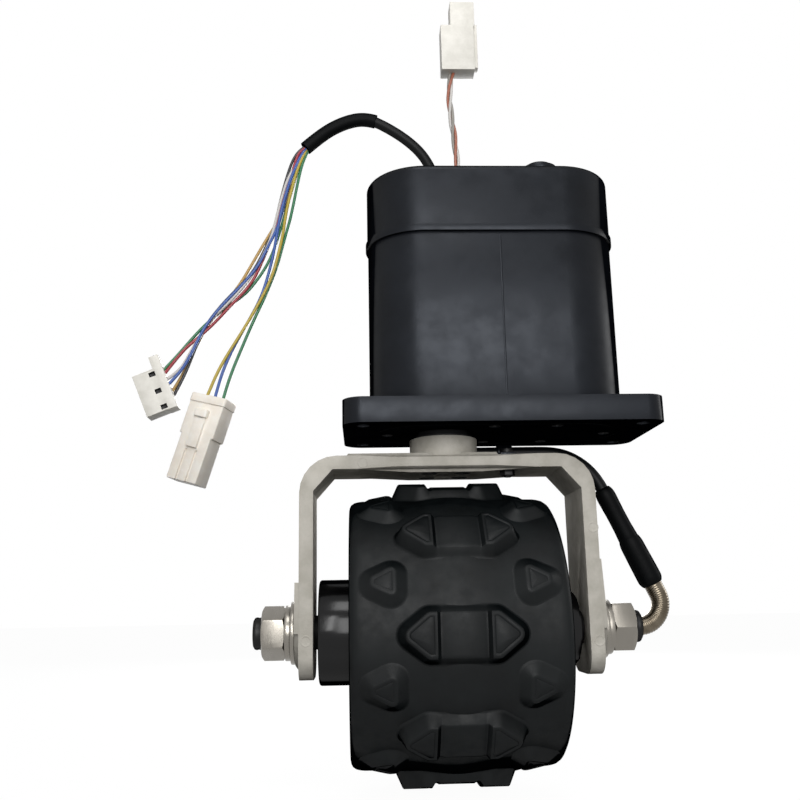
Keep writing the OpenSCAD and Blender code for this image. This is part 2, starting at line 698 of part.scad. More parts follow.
module magnet_ring() color(black) translate([steer_x, 0, 0])
    ring(ring_z + 2.4, 4, shaft_d / 2 + 4, shaft_d / 2);

module dust_ring() color(rubber) translate([steer_x, 0, 0]) {
    ring(boss_top, 1.2, shoulder_d / 2 + 2.6, shoulder_d / 2);
    ring(boss_top, seal_z - boss_top - 0.6, shoulder_d / 2 + 1.2, shoulder_d / 2);
}

// Fork

// Right half of the fork's outline, from the steering axis outwards
fork_outline = concat([[0, 0]],
    [for (a = [90 : -15 : 0]) [fork_w / 2 - fork_corner * (1 - cos(a)), -fork_corner * (1 - sin(a))]],
    [[fork_w / 2, -axle_drop - leg_end], [leg_in, -axle_drop - leg_end],
        [leg_in, -fork_plate_t - inner_bend - 1], [leg_in - inner_bend, -fork_plate_t], [0, -fork_plate_t]]);

// Flat pad on a leg's outside, straight at its top and cut back below the washer
module leg_pad(top_t, up) {
    rotate([0, 90, 0]) cylinder(d1 = fork_d - 1, d2 = washer_d + 1.2, h = pad_t);
    rotate([90, 0, 0]) translate([0, 0, (1 - fork_d) / 2]) linear_extrude(fork_d - 1)
        polygon([[-0.5, 0], [pad_t, 0], [top_t, up], [-0.5, up]]);
}

// Prism with a smaller top, on a base outline and a top outline of as many points
module frustum(base, top, z0, z1) {
    n = len(base);
    polyhedron(
        concat([for (p = base) [p[0], p[1], z0]], [for (p = top) [p[0], p[1], z1]]),
        concat([[for (i = [0 : n - 1]) i]], [[for (i = [n - 1 : -1 : 0]) n + i]],
               [for (i = [0 : n - 1]) [i, n + i, n + (i + 1) % n, (i + 1) % n]]));
}

// Corners of a rectangle about the X axis, from x0 to x1
function plan(x0, x1, half_w) = [[x0, -half_w], [x1, -half_w], [x1, half_w], [x0, half_w]];

// Flat-topped rise on the plate, drawn in by slope at its ends
module rise(x0, x1, slope, h)
    frustum(plan(x0, x1, fork_d / 2 - 2), plan(x0 + slope, x1 - slope, fork_d / 2 - 3), -0.5, h);

// Cutter for the relief along an edge of the plate, deepest beside the boss
relief_h = 0.9;
function relief_outline(low) = [[-46, low + 1.45], [-19, low], [19, low], [46, low + 1.45]];
module edge_relief() rotate([-90, 0, 0]) mirror([0, 1, 0])
    frustum(relief_outline(-relief_h - 0.5), relief_outline(0.1), -fork_d / 2 - 1, 1.8 - fork_d / 2);

rise_left = fork_w / 2 - fork_corner - 3.5;
rise_right = clip_x - steer_x - clip_w / 2 - 1;
under_half = leg_in - inner_bend - 3;

module fork() color(cast) translate([steer_x, 0, fork_top]) difference() {
    union() {
        difference() {
            rotate([90, 0, 0]) translate([0, 0, -fork_d / 2]) linear_extrude(fork_d)
                for (m = [0, 1]) mirror([m, 0]) polygon(fork_outline);
            for (m = [0, 1], k = [0, 1]) translate([0, 0, -k * fork_plate_t])
                mirror([0, 0, k]) mirror([0, m, 0]) edge_relief();
            for (m = [0, 1]) mirror([0, m, 0]) difference() {
                translate([-fork_w, leg_end_r - fork_d / 2 - 20, -axle_drop - leg_end - 1])
                    cube([2 * fork_w, 20, leg_end_r + 1]);
                translate([-fork_w - 1, leg_end_r - fork_d / 2, leg_end_r - axle_drop - leg_end])
                    rotate([0, 90, 0]) cylinder(r = leg_end_r, h = 2 * fork_w + 2);
            }
        }
        for (p = [[1, 1.6, pad_up_left], [0, 0.7, pad_up_right]])
            mirror([p[0], 0, 0]) translate([fork_w / 2, 0, -axle_drop]) leg_pad(p[1], p[2]);
        rise(-rise_left, rise_right, 1, fork_rise);
        translate([0, 0, -fork_plate_t]) mirror([0, 0, 1])
            rise(-under_half, under_half, under_half - boss_d / 2, fork_pad_t);
    }
    cylinder(d = boss_d + 2 * fit, h = fork_rise + 1);
    translate([0, -hub_cable_d / 2 - 0.6, 0]) cube([rise_right + 1, hub_cable_d + 1.2, fork_rise + 1]);
    translate([0, 0, -axle_drop]) rotate([0, 90, 0]) cylinder(d = axle_d + 2 * fit, h = fork_w + 20,
        center = true);
    translate([0, 0, -fork_plate_t - 2]) cylinder(d = shaft_bore_d, h = fork_plate_t + 4);
    for (a = [45 : 90 : 315]) rotate(a) translate([fork_bolt_r, 0, -fork_plate_t - 2]) {
        cylinder(d = fork_bolt_d + 2 * fit, h = fork_plate_t + 4);
        cylinder(r = fork_head_r + fit, h = 2 - fork_pad_t + fork_head_h);
    }
    translate([clip_x - steer_x, clip_screw_y, -fork_plate_t - 3]) {
        cylinder(d = 3 + 2 * fit, h = fork_plate_t + 5);
        cylinder(r = 4.2, h = 3);
    }
}

// Screws from below into the output boss, sunk in the plate's thicker middle
module fork_screws() color(steel) translate([steer_x, 0, 0])
    for (a = [45 : 90 : 315]) rotate(a) translate([fork_bolt_r, 0, 0]) mirror([0, 0, 1])
        screw_down(-fork_top + fork_plate_t + fork_pad_t - fork_head_h, fork_plate_t + 3,
            fork_bolt_d / 2, fork_head_r, fork_head_h);

// Axle, and what is fixed on it

module axle() color(black) difference() {
    union() {
        on_axle(axle_left + 0.8, axle_right - axle_left - 1.6, axle_d / 2);
        on_axle(axle_left, axle_right - axle_left, axle_d / 2 - 0.8);
        on_axle(steer_x - leg_in, 2 * leg_in, axle_d / 2 + 0.5);
        on_axle(left_boss_end + boss_wall / 2, right_boss_end - left_boss_end - boss_wall,
            bearing_seat_d / 2);
        on_axle(left_bearing_x + wheel_bearing_w, right_bearing_x - left_bearing_x - wheel_bearing_w,
            bearing_shoulder_r);
        on_axle(hall_x - 3, wheel_x + stator_l / 2 + 3 - hall_x, stator_seat_d / 2);
        on_axle(wheel_x + stator_l / 2, 2, stator_seat_d / 2 + 2);
    }
    on_axle(wheel_x + stator_l / 2 + 2.5, 100, guard_d / 2 - 0.4);
    on_axle(axle_right - 6, 20, guard_d / 2 + run);
    translate([wheel_x + stator_l / 2 + 4, 0, axle_z]) cylinder(r = 1.6, h = 20);
}

module stator_core() color(steel) translate([wheel_x - stator_l / 2, 0, axle_z])
    rotate([90, 0, 90]) linear_extrude(stator_l) difference() {
        circle(d = stator_d);
        circle(d = stator_seat_d);
        for (k = [0 : slots - 1]) rotate((k + 0.5) * 360 / slots) polygon(slot_outline);
    }

// Slot between two teeth: narrow mouth, wide body
tooth_w = 3.2;
slot_in_r = 17.2;
slot_out_r = stator_d / 2 - 2;
slot_outline = [[slot_in_r, -slot_half(slot_in_r)], [slot_out_r, -slot_half(slot_out_r)],
    [slot_out_r + 0.8, -1.1], [stator_d, -1.1], [stator_d, 1.1], [slot_out_r + 0.8, 1.1],
    [slot_out_r, slot_half(slot_out_r)], [slot_in_r, slot_half(slot_in_r)]];
function slot_half(r) = r * tan(180 / slots) - tooth_w / 2 / cos(180 / slots);

module stator_windings() color(copper) translate([wheel_x, 0, axle_z])
    for (k = [0 : slots - 1]) rotate([k * 360 / slots - 90, 0, 0]) difference() {
        translate([-stator_l / 2 - coil_over, -tooth_w / 2 - 1.5, slot_in_r + 1.6])
            cube([stator_l + 2 * coil_over, tooth_w + 3, slot_out_r - slot_in_r - 2.2]);
        translate([-stator_l / 2 - fit, -tooth_w / 2 - fit, slot_in_r])
            cube([stator_l + 2 * fit, tooth_w + 2 * fit, slot_out_r - slot_in_r + 1]);
    }

module hall_board() color(board_green) difference() {
    on_axle(hall_x, 1.6, stator_d / 2 - 4);
    on_axle(hall_x - 1, 4, stator_seat_d / 2);
}

module hex_nut(x, t, turn) translate([x, 0, axle_z]) rotate([0, 90, 0]) difference() {
    intersection() {
        rotate(turn) cylinder(d = nut_af / cos(30), h = t, $fn = 6);
        rotate_extrude() polygon([[0, 0], [nut_af / 2, 0], [nut_af / 2 + 1.6, 0.9], [nut_af / 2 + 1.6,
            t - 0.9],
            [nut_af / 2, t], [0, t]]);
    }
    translate([0, 0, -1]) cylinder(d = axle_d, h = t + 2);
}

module axle_nuts() color(steel) {
    hex_nut(left_leg - nut_off - nut_left_t, nut_left_t, 0);
    hex_nut(right_leg + nut_off, nut_right_t, 30);
}

module lock_washers() color(steel) for (s = [-1, 1]) difference() {
    axle_ring(s < 0 ? left_leg - nut_off : right_leg + lock_off, lock_t, washer_d / 2 - 1.4,
        axle_d / 2 + fit);
    translate([s < 0 ? left_leg - nut_off - 1 : right_leg + lock_off - 1, -0.6, axle_z])
        rotate([0, 0, s * 14]) cube([lock_t * 3, 1.2, washer_d]);
}

module flat_washers() color(steel) for (s = [-1, 1])
    axle_ring(s < 0 ? left_leg - lock_off : right_leg + washer_off, washer_t, washer_d / 2, axle_d / 2 + fit);

// Point on the cable's inclined stretch, as a frame whose +Z runs along it
module on_lean(p) translate([p[0], 0, p[1]]) rotate([0, -lean, 0]) children();

// Guard tube from its seat in the axle's end, round the bend and into the lower sleeve
guard_route = concat([[axle_right - 6, 0, axle_z]],
    [for (a = [-90 : (90 + lean) / 9 : lean + 0.1])
        [guard_x + guard_bend_r * cos(a), 0, guard_z + guard_bend_r * sin(a)]],
    [[guard_end[0], 0, guard_end[1]] + (guard_straight + sleeve_grip) * on_sleeve]);

module cable_guard() color(steel) pipe(guard_route, guard_d / 2, guard_bore_d / 2, 16);

module sleeve_lower() color(rubber) on_lean(sleeve_start) difference() {
    cylinder(d = sleeve_low_d, h = sleeve_low_l);
    translate([0, 0, -1]) cylinder(d = guard_d, h = sleeve_grip + 1);
    translate([0, 0, sleeve_grip - 1]) cylinder(d = hub_cable_d, h = sleeve_low_l);
}

module sleeve_upper() color(rubber) on_lean(sleeve_mid) difference() {
    cylinder(d = sleeve_up_d, h = sleeve_up_l);
    translate([0, 0, -1]) cylinder(d = hub_cable_d, h = sleeve_up_l + 2);
}

// Hub cable from the sleeves over the fork's corner, along its top and up the hollow shaft
cable_corner = concat([for (p = [[15.5, 3.2], [31, 1.7], [49, 0.7], [69.5, 0.4], [90, 0.1]])
    let(r = fork_corner + hub_cable_d / 2 + p[1])
    [right_leg - fork_corner + r * cos(p[0]), 0, fork_top - fork_corner + r * sin(p[0])]],
    [[right_leg - fork_corner - 6, 0, cable_z]]);
cable_rise = [for (p = [[10, 0], [5, 0.3], [2, 1.9], [0.4, 4.7], [0, 8.4]]) [steer_x + p[0], 0,
    cable_z + p[1]]];

module hub_cable() color(rubber)
    tube(concat([sleeve_out - 14 * on_sleeve, sleeve_out, sleeve_out + 0.8 * on_sleeve], cable_corner,
        cable_rise, [[steer_x, 0, cap_top - 5.5]]), hub_cable_d / 2 - run, 12);

// Saddle over the cable, open below, with one screwed foot
module cable_clip() color(nylon) translate([clip_x, 0, fork_top]) difference() {
    union() {
        translate([-clip_w / 2, 0, hub_cable_d / 2 + 0.1]) rotate([0, 90, 0])
            cylinder(r = hub_cable_d / 2 + clip_t, h = clip_w);
        translate([-clip_w / 2, -hub_cable_d / 2 - clip_t, 0])
            cube([clip_w, hub_cable_d + 2 * clip_t, hub_cable_d / 2 + 0.1]);
        translate([-clip_w / 2, clip_screw_y - 3.5, 0]) cube([clip_w, -clip_screw_y, clip_t + 0.4]);
    }
    translate([-clip_w, 0, hub_cable_d / 2 + 0.1]) rotate([0, 90, 0])
        cylinder(r = hub_cable_d / 2, h = 2 * clip_w);
    translate([-clip_w, -hub_cable_d / 2, -hub_cable_d]) cube([2 * clip_w, hub_cable_d,
        1.5 * hub_cable_d + 0.1]);
    translate([-clip_w, -clip_w - 5, -5]) cube([2 * clip_w, 3 * clip_w, 5]);
    translate([0, clip_screw_y, -1]) cylinder(d = 3 + 2 * fit, h = 5);
}

module clip_screw() color(steel) translate([clip_x, clip_screw_y, 0]) {
    screw_down(fork_top + clip_t + 0.4, clip_t + 0.4 + fork_plate_t + 3, 1.5, 2.7, 1.8);
    translate([0, 0, fork_top - fork_plate_t - 2.4]) cylinder(d = 6.2, h = 2.4, $fn = 6);
}

// Wheel

lug_half_l = 23;
lug_half_w = 10.3;
lug_flat = 13;
lug_slope = 2.6;
lug_base = [[-lug_half_l, 0], [-lug_flat, -lug_half_w], [lug_flat, -lug_half_w],
    [lug_half_l, 0], [lug_flat, lug_half_w], [-lug_flat, lug_half_w]];
lug_top = [[-lug_half_l + 3.4, 0], [-lug_flat + 0.9, -lug_half_w + lug_slope],
    [lug_flat - 0.9, -lug_half_w + lug_slope], [lug_half_l - 3.4, 0],
    [lug_flat - 0.9, lug_half_w - lug_slope], [-lug_flat + 0.9, lug_half_w - lug_slope]];
side_lug_x = 26.5;
side_lug_base = [[-8, -8], [-3, -9.5], [8.5, -2.8], [8.5, 2.8], [-3, 9.5], [-8, 8]];
side_lug_top = [[-6, -5.8], [-2.6, -6.8], [6.2, -1.6], [6.2, 1.6], [-2.6, 6.8], [-6, 5.8]];
shoulder_drop = 1.2;
lug_dip = 1.2;
lug_dip_half = 7.5;

// Outline of the tyre's section, from the drum outwards
tyre_half = tyre_w / 2;
tyre_section = [[drum_d / 2, -tyre_half + 1.5], [drum_d / 2 + 1.5, -tyre_half], [tread_r - 4, -tyre_half],
    [tread_r - 1.6, -tyre_half + 1.2], [tread_r - 0.6, -tyre_half + 3.5], [tread_r, -tyre_half + 12],
    [tread_r, tyre_half - 12], [tread_r - 0.6, tyre_half - 3.5], [tread_r - 1.6, tyre_half - 1.2],
    [tread_r - 4, tyre_half], [drum_d / 2 + 1.5, tyre_half], [drum_d / 2, tyre_half - 1.5]];

// Lug across the tread's middle, lower between its two points
module lug() difference() {
    frustum(lug_base, lug_top, 0, 3 + lug_h - 0.15);
    translate([-lug_dip_half, -lug_half_w - 1, 3 + lug_h - 0.15 - lug_dip])
        cube([2 * lug_dip_half, 2 * lug_half_w + 2, lug_dip + 1]);
}

module tyre() color(rubber) translate([wheel_x, 0, axle_z]) rotate([0, 90, 0]) {
    step = 360 / lug_count;
    rotate_extrude() polygon(tyre_section);
    for (k = [0 : lug_count - 1]) rotate(-90 + k * step) {
        translate([tread_r - 3, 0, 0]) rotate([0, 90, 0]) lug();
        rotate(step / 2) for (s = [0, 1]) mirror([0, 0, s])
            translate([tread_r - 3, 0, side_lug_x]) rotate([0, 90, 0]) mirror([1, 0, 0])
                frustum(side_lug_base, side_lug_top, 0, 3 + lug_h - shoulder_drop);
    }
}

module hub_drum() color(black) difference() {
    axle_ring(wheel_x - drum_half, 2 * drum_half, drum_d / 2, drum_in_r);
    for (k = [0 : 5], s = [-1, 1]) rotate_on_axle(k * 60)
        translate([wheel_x + s * drum_half, 0, axle_z + drum_d / 2 - drum_t / 2])
            rotate([0, 90, 0]) cylinder(r = 1.25, h = 16, center = true);
}

module rotate_on_axle(a) translate([0, 0, axle_z]) rotate([a, 0, 0]) translate([0, 0, -axle_z]) children();

// Disc of a side cover with its screw holes
module cover_disc(x) difference() {
    on_axle(x, side_cover_t, drum_d / 2 - fit);
    for (k = [0 : 5]) rotate_on_axle(k * 60)
        translate([x - 1, 0, axle_z + drum_d / 2 - drum_t / 2]) rotate([0, 90, 0])
            cylinder(r = 1.25 + fit, h = side_cover_t + 2);
}

module cover_left() color(black) difference() {
    union() {
        cover_disc(wheel_x - cover_half);
        on_axle(left_boss_end + 0.8, wheel_x - cover_half - left_boss_end, left_boss_d / 2);
        on_axle(left_boss_end, 2, left_boss_d / 2 - 0.8);
        for (k = [0 : 5]) rotate_on_axle(30 + k * 60)
            translate([wheel_x - cover_half - 1.2, -1.5, axle_z + left_boss_d / 2 - 1])
                cube([2, 3, drum_d / 2 - left_boss_d / 2 - 4]);
    }
    on_axle(left_bearing_x, wheel_x - left_bearing_x, wheel_bearing_d / 2);
    on_axle(left_boss_end - 1, 8, bearing_seat_d / 2 + 0.8);
}

module cover_right() color(black) difference() {
    union() {
        cover_disc(wheel_x + drum_half);
        on_axle(right_bearing_x, wheel_bearing_w + 2, wheel_bearing_d / 2 + 3);
        on_axle(wheel_x + drum_half + 1, right_boss_end - wheel_x - drum_half - 1.8, right_boss_d / 2);
        on_axle(right_boss_end - 2, 2, right_boss_d / 2 - 0.8);
        for (k = [0 : 5]) rotate_on_axle(30 + k * 60)
            translate([wheel_x + cover_half - 0.8, -1.5, axle_z + right_boss_d / 2 - 1])
                cube([2, 3, drum_d / 2 - right_boss_d / 2 - 4]);
    }
    on_axle(right_bearing_x - 1, wheel_bearing_w + 1, wheel_bearing_d / 2);
    on_axle(right_bearing_x, fork_w, bearing_seat_d / 2 + 0.8);
}

module cover_screws() color(steel) for (k = [0 : 5], s = [0, 1]) rotate_on_axle(k * 60)
    translate([wheel_x, 0, axle_z + drum_d / 2 - drum_t / 2]) mirror([s, 0, 0]) translate([cover_half, 0, 0])
        rotate([0, 90, 0]) screw_down(0, side_cover_t + 5, 1.25, 2.2, 1.6);

module rotor_ring() color(steel)
    axle_ring(wheel_x - stator_l / 2 - 1, stator_l + 2, drum_in_r, magnet_out_r);

module magnets() color([0.5, 0.5, 0.52]) translate([wheel_x - stator_l / 2, 0, axle_z])
    for (k = [0 : poles - 1]) rotate([90, 0, 90]) rotate(k * 360 / poles)
        rotate_extrude(angle = 324 / poles) translate([magnet_in_r, 0]) square([magnet_t, stator_l]);

module wheel_bearings() color(steel) for (x = [left_bearing_x, right_bearing_x])
    translate([x, 0, axle_z]) rotate([0, 90, 0])
        ball_bearing(0, wheel_bearing_w, wheel_bearing_d / 2, bearing_seat_d / 2 + run);

// Leads and connectors

module hub_lead() color(rubber) tube(hub_lead_route, lead_d / 2, 8);

module hall_wires() color("firebrick") tube(hall_route, 1.8, 8);

module phase_wires() color("royalblue") tube(phase_route, 1.5, 8);

module steering_lead() color("sienna") tube(steer_route, steer_lead_d / 2, 8);

module hall_connector() color(ivory) translate(hall_conn) rotate([0, hall_conn_turn, 0]) difference() {
    union() {
        translate([-11.8, -4, -4]) cube([23.6, 8, 4]);
        translate([-6.6, -4, -12.8]) cube([18.2, 8, 9]);
    }
    for (x = [-4.5, 3, 10]) translate([x - 1, -5, -6.2]) cube([2, 3, 2.6]);
}

module phase_connector() color(ivory) translate(phase_conn) rotate([0, phase_conn_turn, 0])
    rotate([0, 0, phase_conn_roll]) {
        translate([-8, -4.5, -17]) cube([16, 9, 17]);
        difference() {
            translate([-7, -4.5, -36]) cube([14, 9, 20]);
            for (x = [-2.4, 2.4]) translate([x - 0.5, -5, -37]) cube([1, 1.5, 14]);
        }
        translate([-2.5, -5.9, -22]) cube([5, 1.6, 16]);
    }

module steering_connector() color(ivory) translate(steer_conn) {
    translate([-7.5, -4, 0]) cube([15, 8, 22.5]);
    translate([-3, -4, 22]) cube([11, 8, 12.3]);
    translate([7.4, -2, 2]) cube([1.8, 4, 22]);
}

base_flange();
housing_body();
top_cap();
cap_seal();
body_screws();
cap_screws();
bottom_cover();
bottom_cover_screws();
vent_plug();
cable_grommet();
lead_grommet();
lower_bearing();
upper_bearing();
shaft_seal();
motor_plate();
plate_screws();
idler_pin();
steering_motor();
motor_end_bell();
encoder_board();
idler_gear();
motor_pinion();
steering_shaft();
output_gear();
magnet_ring();
retaining_ring();
dust_ring();
fork();
fork_screws();
axle();
stator_core();
stator_windings();
hall_board();
axle_nuts();
lock_washers();
flat_washers();
cable_guard();
sleeve_lower();
sleeve_upper();
hub_cable();
cable_clip();
clip_screw();
tyre();
hub_drum();
cover_left();
cover_right();
rotor_ring();
magnets();
wheel_bearings();
cover_screws();
hub_lead();
hall_wires();
phase_wires();
steering_lead();
hall_connector();
phase_connector();
steering_connector();
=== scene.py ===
"""Powered steering wheel unit of a robot mower, dressed for a plain studio picture.

Metres, in the CAD model's frame: +Z up along the steering axis, origin on the flange's top face.
Places, profiles and steps in the lists are in millimetres.
Mouldings, castings, connectors and fasteners keep the CAD shapes, with edges rounded as the real ones are.
The tyre, the leads, the guard tube, the sleeves, the left boss, the axle's thread, the housing's flash, the
fork's ejector marks and the phase connector's collar and pad are modelled here.
"""

import json
import math

import bpy
from mathutils import Matrix, Vector


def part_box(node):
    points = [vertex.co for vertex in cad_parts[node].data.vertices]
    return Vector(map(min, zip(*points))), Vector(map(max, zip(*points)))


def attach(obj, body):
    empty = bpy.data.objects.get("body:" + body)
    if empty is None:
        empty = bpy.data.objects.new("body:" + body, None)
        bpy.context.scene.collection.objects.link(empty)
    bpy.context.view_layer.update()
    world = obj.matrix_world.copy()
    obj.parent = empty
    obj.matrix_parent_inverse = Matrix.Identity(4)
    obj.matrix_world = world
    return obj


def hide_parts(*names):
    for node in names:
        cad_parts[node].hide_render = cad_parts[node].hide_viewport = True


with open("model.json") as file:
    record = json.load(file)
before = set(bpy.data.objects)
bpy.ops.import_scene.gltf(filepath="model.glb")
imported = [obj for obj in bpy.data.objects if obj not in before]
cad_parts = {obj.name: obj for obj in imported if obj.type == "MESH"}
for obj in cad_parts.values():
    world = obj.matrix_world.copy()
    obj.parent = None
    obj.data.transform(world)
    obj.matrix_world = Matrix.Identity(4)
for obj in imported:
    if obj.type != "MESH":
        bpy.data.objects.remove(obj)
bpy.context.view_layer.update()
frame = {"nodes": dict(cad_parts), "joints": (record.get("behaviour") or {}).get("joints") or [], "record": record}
bpy.ops.object.select_all(action="DESELECT")

MM = 0.001
JOINT_AT = {j["name"]: Vector(j["pos_m"]) for j in frame["joints"]}
STEER_X = JOINT_AT["steer"].x
AXLE_Z = JOINT_AT["wheel_spin"].z
CAP_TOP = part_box("top_cap")[1].z
TYRE_LOW, TYRE_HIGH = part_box("tyre")
WHEEL_X = (TYRE_LOW.x + TYRE_HIGH.x) / 2


# Camera, at the photograph's viewpoint

CAMERA_AT = Vector((-56.0, -367.5, -76.5)) * MM
CAMERA_YAW = 0.045
CAMERA_PITCH = 0.218
CAMERA_ROLL = 0.019
SENSOR_WIDTH = 36.0
FOCAL_PIXELS = 906.4
FRAME_PIXELS = 800


def place_camera():
    """Looks up at the underside of the flange, from a little left of the wheel."""
    forward = Vector((math.sin(CAMERA_YAW) * math.cos(CAMERA_PITCH),
                      math.cos(CAMERA_YAW) * math.cos(CAMERA_PITCH), math.sin(CAMERA_PITCH)))
    level = Vector((math.cos(CAMERA_YAW), -math.sin(CAMERA_YAW), 0))
    above = level.cross(forward)
    right = level * math.cos(CAMERA_ROLL) - above * math.sin(CAMERA_ROLL)
    up = level * math.sin(CAMERA_ROLL) + above * math.cos(CAMERA_ROLL)
    data = bpy.data.cameras.new("camera")
    data.sensor_width = SENSOR_WIDTH
    data.lens = FOCAL_PIXELS * SENSOR_WIDTH / FRAME_PIXELS
    data.clip_start = 10 * MM
    camera = bpy.data.objects.new("camera", data)
    bpy.context.collection.objects.link(camera)
    turn = Matrix((right, up, -forward)).transposed()
    camera.matrix_world = Matrix.Translation(CAMERA_AT) @ turn.to_4x4()
    bpy.context.scene.camera = camera


# Materials

MOTTLE_STOPS = (0.35, 0.65)  # noise values at which a patch has its low and its high value
FULL_GLOSS_TO = 0.12  # 0 where a surface faces the eye, 1 at its outline
NO_GLOSS_FROM = 0.62


def linear(hex_colour):
    """Linear colour of an sRGB hex value."""
    shares = [int(hex_colour[i:i + 2], 16) / 255 for i in (1, 3, 5)]
    return [s / 12.92 if s <= 0.04045 else ((s + 0.055) / 1.055) ** 2.4 for s in shares] + [1.0]


def add_node(tree, kind, links=(), **settings):
    """One shader node. settings are its properties, or its inputs' values by name with _ for a space.
    links are (input name or index, from node, output name) of this node's own inputs."""
    made = tree.nodes.new(kind)
    for name, value in settings.items():
        if hasattr(made, name):
            setattr(made, name, value)
        else:
            made.inputs[name.replace("_", " ")].default_value = value
    for socket, source, output in links:
        tree.links.new(source.outputs[output], made.inputs[socket])
    return made


def surface(name, colour, roughness, metallic=0.0, ior=1.5):
    """Material with one Principled shader, and its tree and shader for what is added."""
    material = bpy.data.materials.new(name)
    material.use_nodes = True
    tree = material.node_tree
    shader = tree.nodes["Principled BSDF"]
    for socket, value in (("Base Color", linear(colour)), ("Roughness", roughness), ("Metallic", metallic),
                          ("IOR", ior)):
        shader.inputs[socket].default_value = value
    return material, tree, shader


def grain(tree, shader, size_mm, depth_mm, detail=3.0, stretch=(1, 1, 1)):
    """Bump from noise whose features are about size_mm wide, read on Object coordinates.
    Returns the scaled coordinates, for patterns that lie on the same grain."""
    place = add_node(tree, "ShaderNodeTexCoord")
    scaled = add_node(tree, "ShaderNodeMapping", [("Vector", place, "Object")], Scale=stretch)
    pattern = add_node(tree, "ShaderNodeTexNoise", [("Vector", scaled, "Vector")],
                       Scale=1 / (size_mm * MM), Detail=detail, Roughness=0.55)
    bump = add_node(tree, "ShaderNodeBump", [("Height", pattern, "Fac")],
                    Strength=1.0, Distance=depth_mm * MM)
    tree.links.new(bump.outputs["Normal"], shader.inputs["Normal"])
    return scaled


def mottle(tree, shader, scaled, size_mm, socket, low, high):
    """Slow change of one input between two values, such as colour or roughness, over patches of size_mm."""
    pattern = add_node(tree, "ShaderNodeTexNoise", [("Vector", scaled, "Vector")],
                       Scale=1 / (size_mm * MM), Detail=4.0, Roughness=0.6)
    ramp = add_node(tree, "ShaderNodeValToRGB", [("Fac", pattern, "Fac")])
    for stop, where, value in zip(ramp.color_ramp.elements, MOTTLE_STOPS, (low, high)):
        stop.position = where
        stop.color = linear(value) if isinstance(value, str) else (value, value, value, 1)
    tree.links.new(ramp.outputs["Color"], shader.inputs[socket])


def dull_at_a_glance(tree, shader, level):
    """Gloss that fades where the surface is seen at a flat angle, because its fine texture shades itself.
    level is the gloss where the surface faces the eye."""
    glance = add_node(tree, "ShaderNodeLayerWeight", Blend=0.5)
    fade = add_node(tree, "ShaderNodeMapRange", [("Value", glance, "Facing")],
                    From_Min=FULL_GLOSS_TO, From_Max=NO_GLOSS_FROM, To_Min=level, To_Max=0.0)
    tree.links.new(fade.outputs["Result"], shader.inputs["Specular IOR Level"])


def moulded_abs():
    """ABS, injection moulded in black: satin, with a fine spark texture and faint dusty patches."""
    material, tree, shader = surface("moulded_abs", "#0a0b0e", 0.3, ior=1.46)
    shader.inputs["Specular Tint"].default_value = linear("#dfe6f2")
    dull_at_a_glance(tree, shader, 0.28)
    scaled = grain(tree, shader, 0.5, 0.010)
    mottle(tree, shader, scaled, 22, "Base Color", "#06070a", "#0d0f13")
    mottle(tree, shader, scaled, 9, "Roughness", 0.29, 0.42)
    return material


def tread_rubber():
    """Natural rubber, compression moulded: matt and slightly blue-grey, dusted where it was handled."""
    material, tree, shader = surface("tread_rubber", "#121516", 0.5)
    dull_at_a_glance(tree, shader, 0.17)
    scaled = grain(tree, shader, 0.7, 0.012)
    mottle(tree, shader, scaled, 14, "Base Color", "#07090a", "#0e1112")
    mottle(tree, shader, scaled, 5, "Roughness", 0.46, 0.60)
    return material


def coated_drum():
    """Aluminium with a black powder coat: smooth with a slight orange peel, for soft reflections."""
    material, tree, shader = surface("coated_drum", "#030304", 0.16)
    dull_at_a_glance(tree, shader, 0.26)
    grain(tree, shader, 1.2, 0.01, detail=1.0)
    return material


def blasted_casting():
    """Die cast aluminium, bead blasted: light warm grey, matt, with a grain of fine pits."""
    material, tree, shader = surface("blasted_casting", "#b5b1a8", 0.66, metallic=0.08)
    dull_at_a_glance(tree, shader, 0.35)
    scaled = grain(tree, shader, 0.5, 0.09, detail=4.0)
    mottle(tree, shader, scaled, 6, "Base Color", "#a8a49a", "#bcb8af")
    mottle(tree, shader, scaled, 3, "Roughness", 0.55, 0.72)
    return material


def zinc_plate():
    """Steel, cold formed and zinc plated: bright with soft streaks."""
    material, tree, shader = surface("zinc_plate", "#827e77", 0.24, metallic=1.0)
    scaled = grain(tree, shader, 0.8, 0.01, stretch=(1, 0.25, 0.25))
    mottle(tree, shader, scaled, 4, "Roughness", 0.22, 0.40)
    return material


def turned_steel():
    """Bearing steel, turned and ground: fine rings round the axis show as a tight grain."""
    material, tree, shader = surface("turned_steel", "#a9a9a8", 0.28, metallic=1.0)
    grain(tree, shader, 0.25, 0.006, stretch=(1, 4, 4))
    return material


def black_oxide_and_painted_shade():
    """Steel with a black oxide finish: almost black, slightly oily, brown on worn crests. The same material is
    painted shade on the sensor connector's window floors and on the screws in the shade under the flange and the
    fork plate.
    """
    material, tree, shader = surface("black_oxide_and_painted_shade", "#0c0c0d", 0.42, metallic=0.05)
    dull_at_a_glance(tree, shader, 0.24)
    scaled = grain(tree, shader, 0.4, 0.01)
    mottle(tree, shader, scaled, 3, "Base Color", "#08080a", "#131211")
    return material


def wound_stainless():
    """Stainless strip wound into a bent tube: warm grey, polished on the ridges, dull between."""
    material, tree, shader = surface("wound_stainless", "#6a6256", 0.2, metallic=1.0)
    scaled = grain(tree, shader, 0.9, 0.01)
    mottle(tree, shader, scaled, 2.5, "Roughness", 0.16, 0.3)
    mottle(tree, shader, scaled, 6, "Base Color", "#574f43", "#746c5f")
    return material


